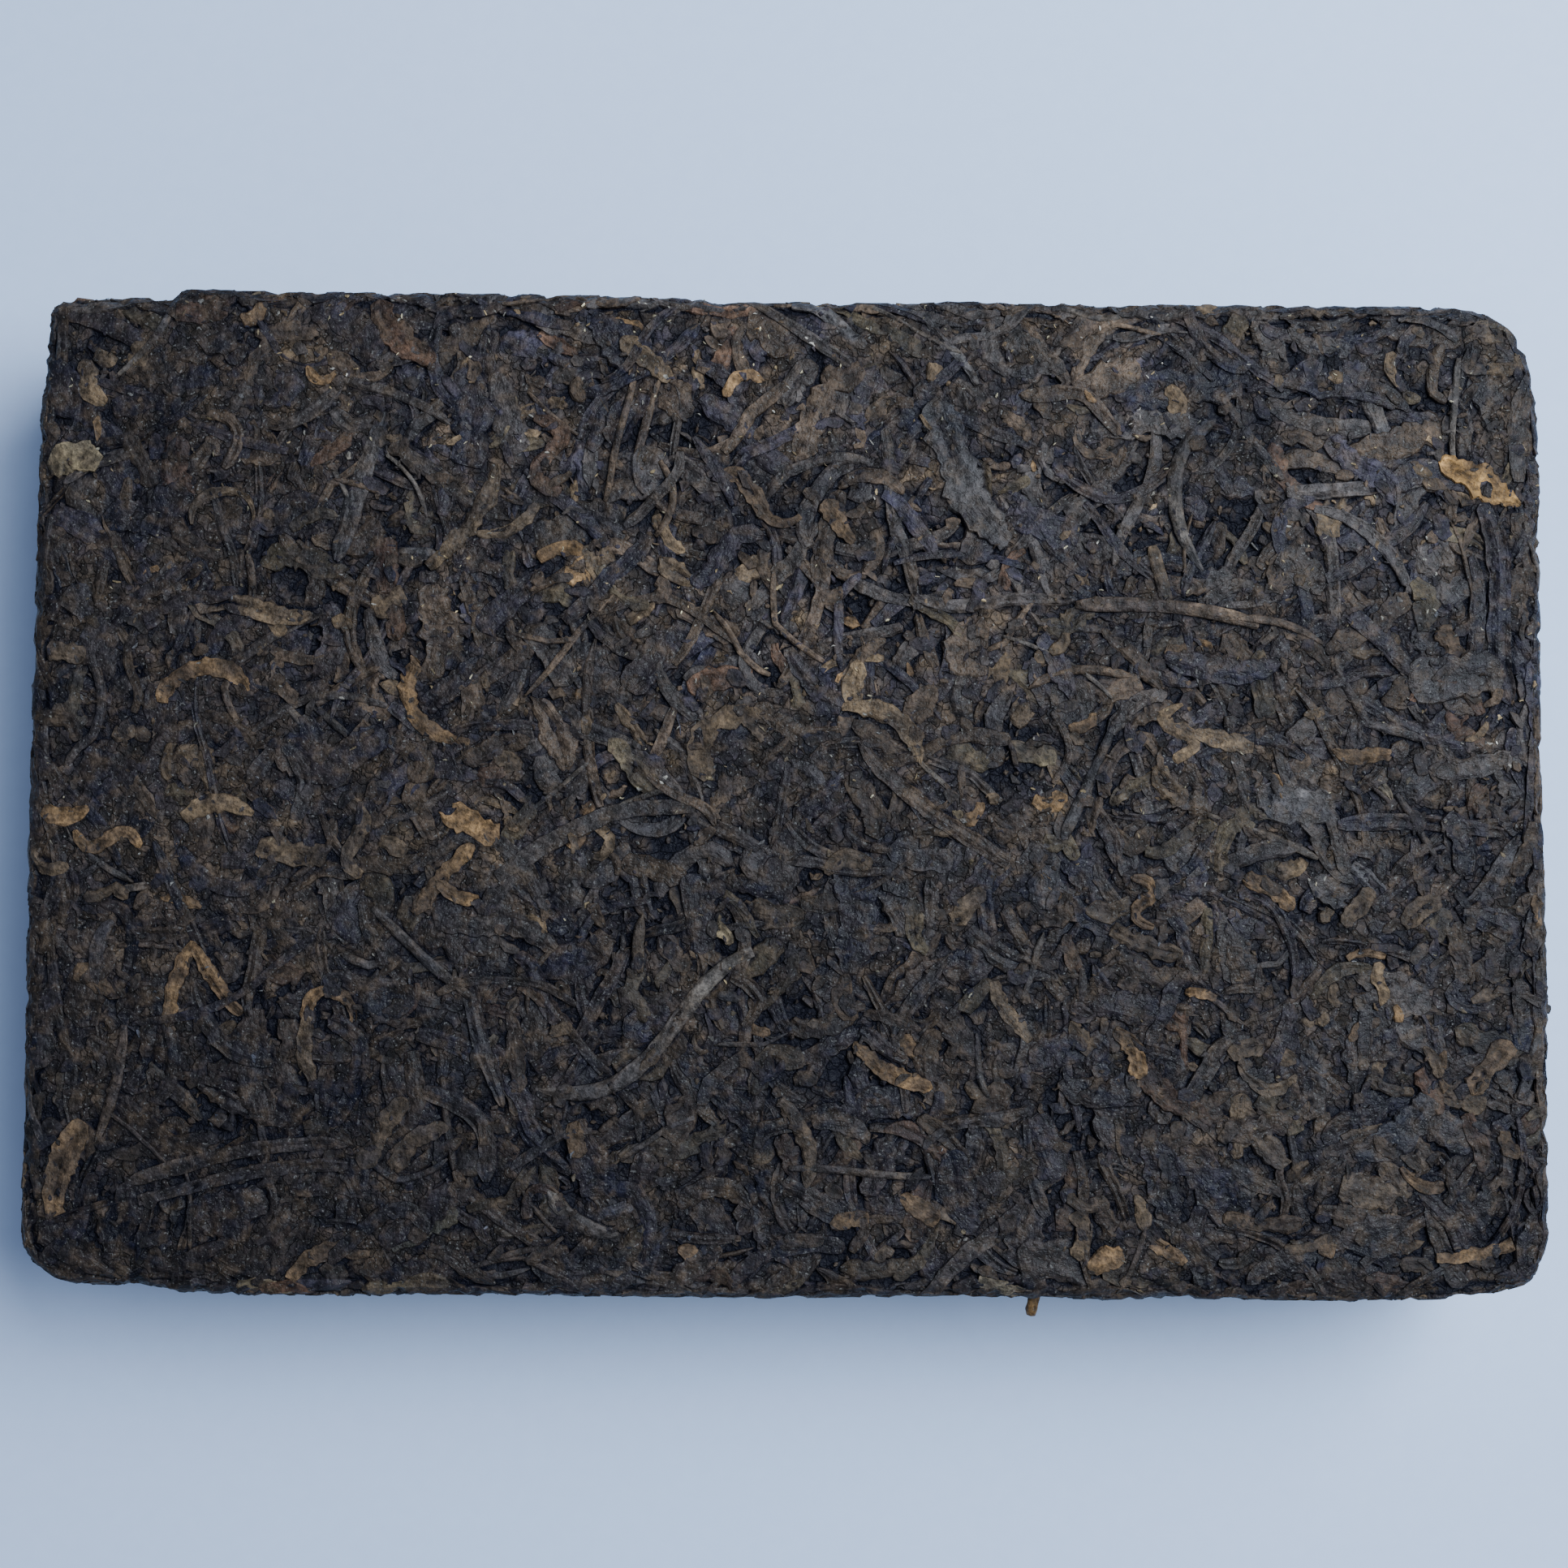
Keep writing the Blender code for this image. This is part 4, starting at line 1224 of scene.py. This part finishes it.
def leaf_material(name, roughness, fibres, dust, crumbled):
    material = bpy.data.materials.new(name)
    tree, shader = nodes_of(material)
    colour, relief, grain = (
        node(tree, "ShaderNodeAttribute", attribute_name=attribute).outputs[output]
        for attribute, output in (("leaf_colour", "Color"), ("relief", "Fac"),
                                  ("leaf_grain", "Vector")))
    place = node(tree, "ShaderNodeTexCoord").outputs["Object"]
    patch, clump, grit, spot, stain, speckle = (
        contrast(tree, noise(tree, place, *pattern[:3]), *pattern[3:])
        for pattern in PATTERNS.values())
    stretched = node(tree, "ShaderNodeMapping", Scale=FIBRE_STRETCH)
    tree.links.new(grain, stretched.inputs["Vector"])
    fibre = contrast(tree, noise(tree, stretched.outputs[0], 1.0), FIBRE_GAIN)

    leaf = painted(tree, colour, patch, REGION_SHARE, REGION_BROWN)
    leaf = painted(tree, leaf, spot, SPOT_SHARE, SPOT_DARK)
    if dust:
        leaf = painted(tree, leaf, stain, STAIN_SHARE, STAIN_BROWN)
    tone = maths(tree, "MULTIPLY_ADD", fibre, 2 * fibres, 1 - fibres)
    shades = [(grit, GRIT_SHADE), (clump, CLUMP_SHADE)]
    heights = [(grit, GRIT_HIGH), (clump, CLUMP_HIGH)]
    if crumbled:
        (which, light, high), edge = fragments_of(tree, place)
        brown = maths(tree, "MULTIPLY_ADD", which, *BROWN_ONES, clamp=True)
        leaf = painted(tree, leaf, brown, FRAGMENT_SHARE, FRAGMENT_BROWN)
        # the fragments are darker at their seams: painted shade in the cracks between them
        shades += [(light, FRAGMENT_SHADE), (edge, SEAM_PAINTED_SHADE)]
        heights += [(edge, SEAM_HIGH), (high, FRAGMENT_HIGH)]
    else:
        heights += [(fibre, FIBRE_HIGH)]
    for where, shade in shades:
        tone = maths(tree, "MULTIPLY", tone, maths(tree, "MULTIPLY_ADD", where, *shade))
    leaf = mixed(tree, 1.0, leaf, tone, "MULTIPLY")
    leaf = painted(tree, leaf, speckle, dust, PALE_GREY)
    if dust:
        # lighter grey-brown on the crowns that stand above their neighbourhood
        worn = maths(tree, "MULTIPLY_ADD", relief, *CROWN_RAMP, clamp=True)
        leaf = painted(tree, leaf, worn, CROWN_SHARE, CROWN_BROWN)
    # painted shade in the hollows, where the leaf lies below its neighbourhood
    hollow = maths(tree, "MULTIPLY_ADD", relief, *HOLLOW_SHADE_RAMP, clamp=True)
    feed(tree, [shader.inputs["Base Color"]], [mixed(tree, hollow, leaf, PAINTED_HOLLOW_SHADE)])

    height = 0.0
    for where, share in heights:
        height = maths(tree, "MULTIPLY_ADD", where, share, height)
    depth = CRUMB_RELIEF if crumbled else LEAF_RELIEF
    bump = node(tree, "ShaderNodeBump", Strength=1.0, Distance=depth)
    tree.links.new(height, bump.inputs["Height"])
    tree.links.new(bump.outputs[0], shader.inputs["Normal"])
    dull = maths(tree, "MULTIPLY_ADD", grit, ROUGHNESS_SPREAD, roughness - ROUGHNESS_SPREAD / 2)
    tree.links.new(dull, shader.inputs["Roughness"])
    shader.inputs["Specular IOR Level"].default_value = SPECULAR
    return material


# ---------------------------------------------------------------- paper, light and camera

PAPER = ((0.545, 0.685, 0.925), (0.60, 0.745, 0.985))
PAPER_SIZE, PAPER_DROP = 3.0, 0.0002  # in metres, as the lamp's
PAPER_FLECKS = (500.0, 5.0)  # their noise's scale and detail
LAMP_PLACE = (0.28, 0.15, 0.42)
LAMP_SIZE = 0.4
LAMP_WATTS = 6.2
LAMP_COLOUR = (0.797, 0.892, 1.0)
ROOM_COLOUR = (0.60, 0.715, 1.0, 1.0)
ROOM_STRENGTH = 0.35

# The camera's place from the middle of the brick's plan, in millimetres, and its turn in
# degrees from straight down.
CAMERA_PLACE = (-7.1, -11.9, 235.3)
CAMERA_TURN = (3.34, -1.65, 0.412)


def floor_object():
    bpy.ops.mesh.primitive_plane_add(size=PAPER_SIZE, location=(0, 0, -PAPER_DROP))
    floor = bpy.context.object
    floor.name = "paper_floor"
    material = bpy.data.materials.new("pale_paper")
    tree, shader = nodes_of(material)
    fleck = noise(tree, node(tree, "ShaderNodeTexCoord").outputs["Object"], *PAPER_FLECKS)
    feed(tree, [shader.inputs["Base Color"]], [mixed(tree, fleck, *PAPER)])
    shader.inputs["Roughness"].default_value = 0.9
    floor.data.materials.append(material)


def lights():
    sun = bpy.data.lights.new("window", "AREA")
    sun.shape, sun.size, sun.size_y = "RECTANGLE", LAMP_SIZE, LAMP_SIZE
    sun.energy = LAMP_WATTS
    sun.color = LAMP_COLOUR
    lamp = link("window", sun)
    lamp.location = LAMP_PLACE
    lamp.rotation_euler = Vector(LAMP_PLACE).to_track_quat("Z", "Y").to_euler()
    world = bpy.data.worlds.new("room")
    bpy.context.scene.world = world
    world.use_nodes = True
    background = world.node_tree.nodes["Background"]
    background.inputs["Color"].default_value = ROOM_COLOUR
    background.inputs["Strength"].default_value = ROOM_STRENGTH


def camera():
    data = bpy.data.cameras.new("camera")
    data.lens, data.sensor_width = 50.0, 36.0
    thing = link("camera", data)
    thing.location = np.add(CAMERA_PLACE, (CENTRE_X, CENTRE_Y, 0)) * MM
    thing.rotation_euler = np.radians(CAMERA_TURN)
    bpy.context.scene.camera = thing


# A leaf is kept if this share of its cells is on top, and so many of them: for the top, the
# underside and the sides.
LEAST_SEEN = ((0.12, 3), (0.18, 10), (0.15, 8))


def main():
    for old in list(bpy.data.objects):
        if old.name in ("Cube", "Light", "Camera"):
            bpy.data.objects.remove(old, do_unlink=True)
    heaps = {name: Heap() for name in KINDS}
    beds = (
        brick_face(on_top, False, 1.0, top_dust_and_shade, SEED, TOP_LAYERS),
        brick_face(underneath, True, UNDER_COARSE, even_tone, SEED + 1, UNDER_LAYERS),
        brick_side(SEED + 2, SIDE_LAYERS),
    )
    for bed, least in zip(beds, LEAST_SEEN):
        gather(bed, heaps, *least)
    heaps["core"] = core_heap(*beds, np.random.default_rng(SEED + 3))
    standing_stems(heaps["leaf_stems"], np.random.default_rng(SEED + 4))
    for name, heap in heaps.items():
        piece = heap.to_object(name)
        piece.data.materials.append(leaf_material(*MATERIALS[name]))
        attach(piece, "root")
    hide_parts(NODE)
    floor_object()
    lights()
    camera()


main()
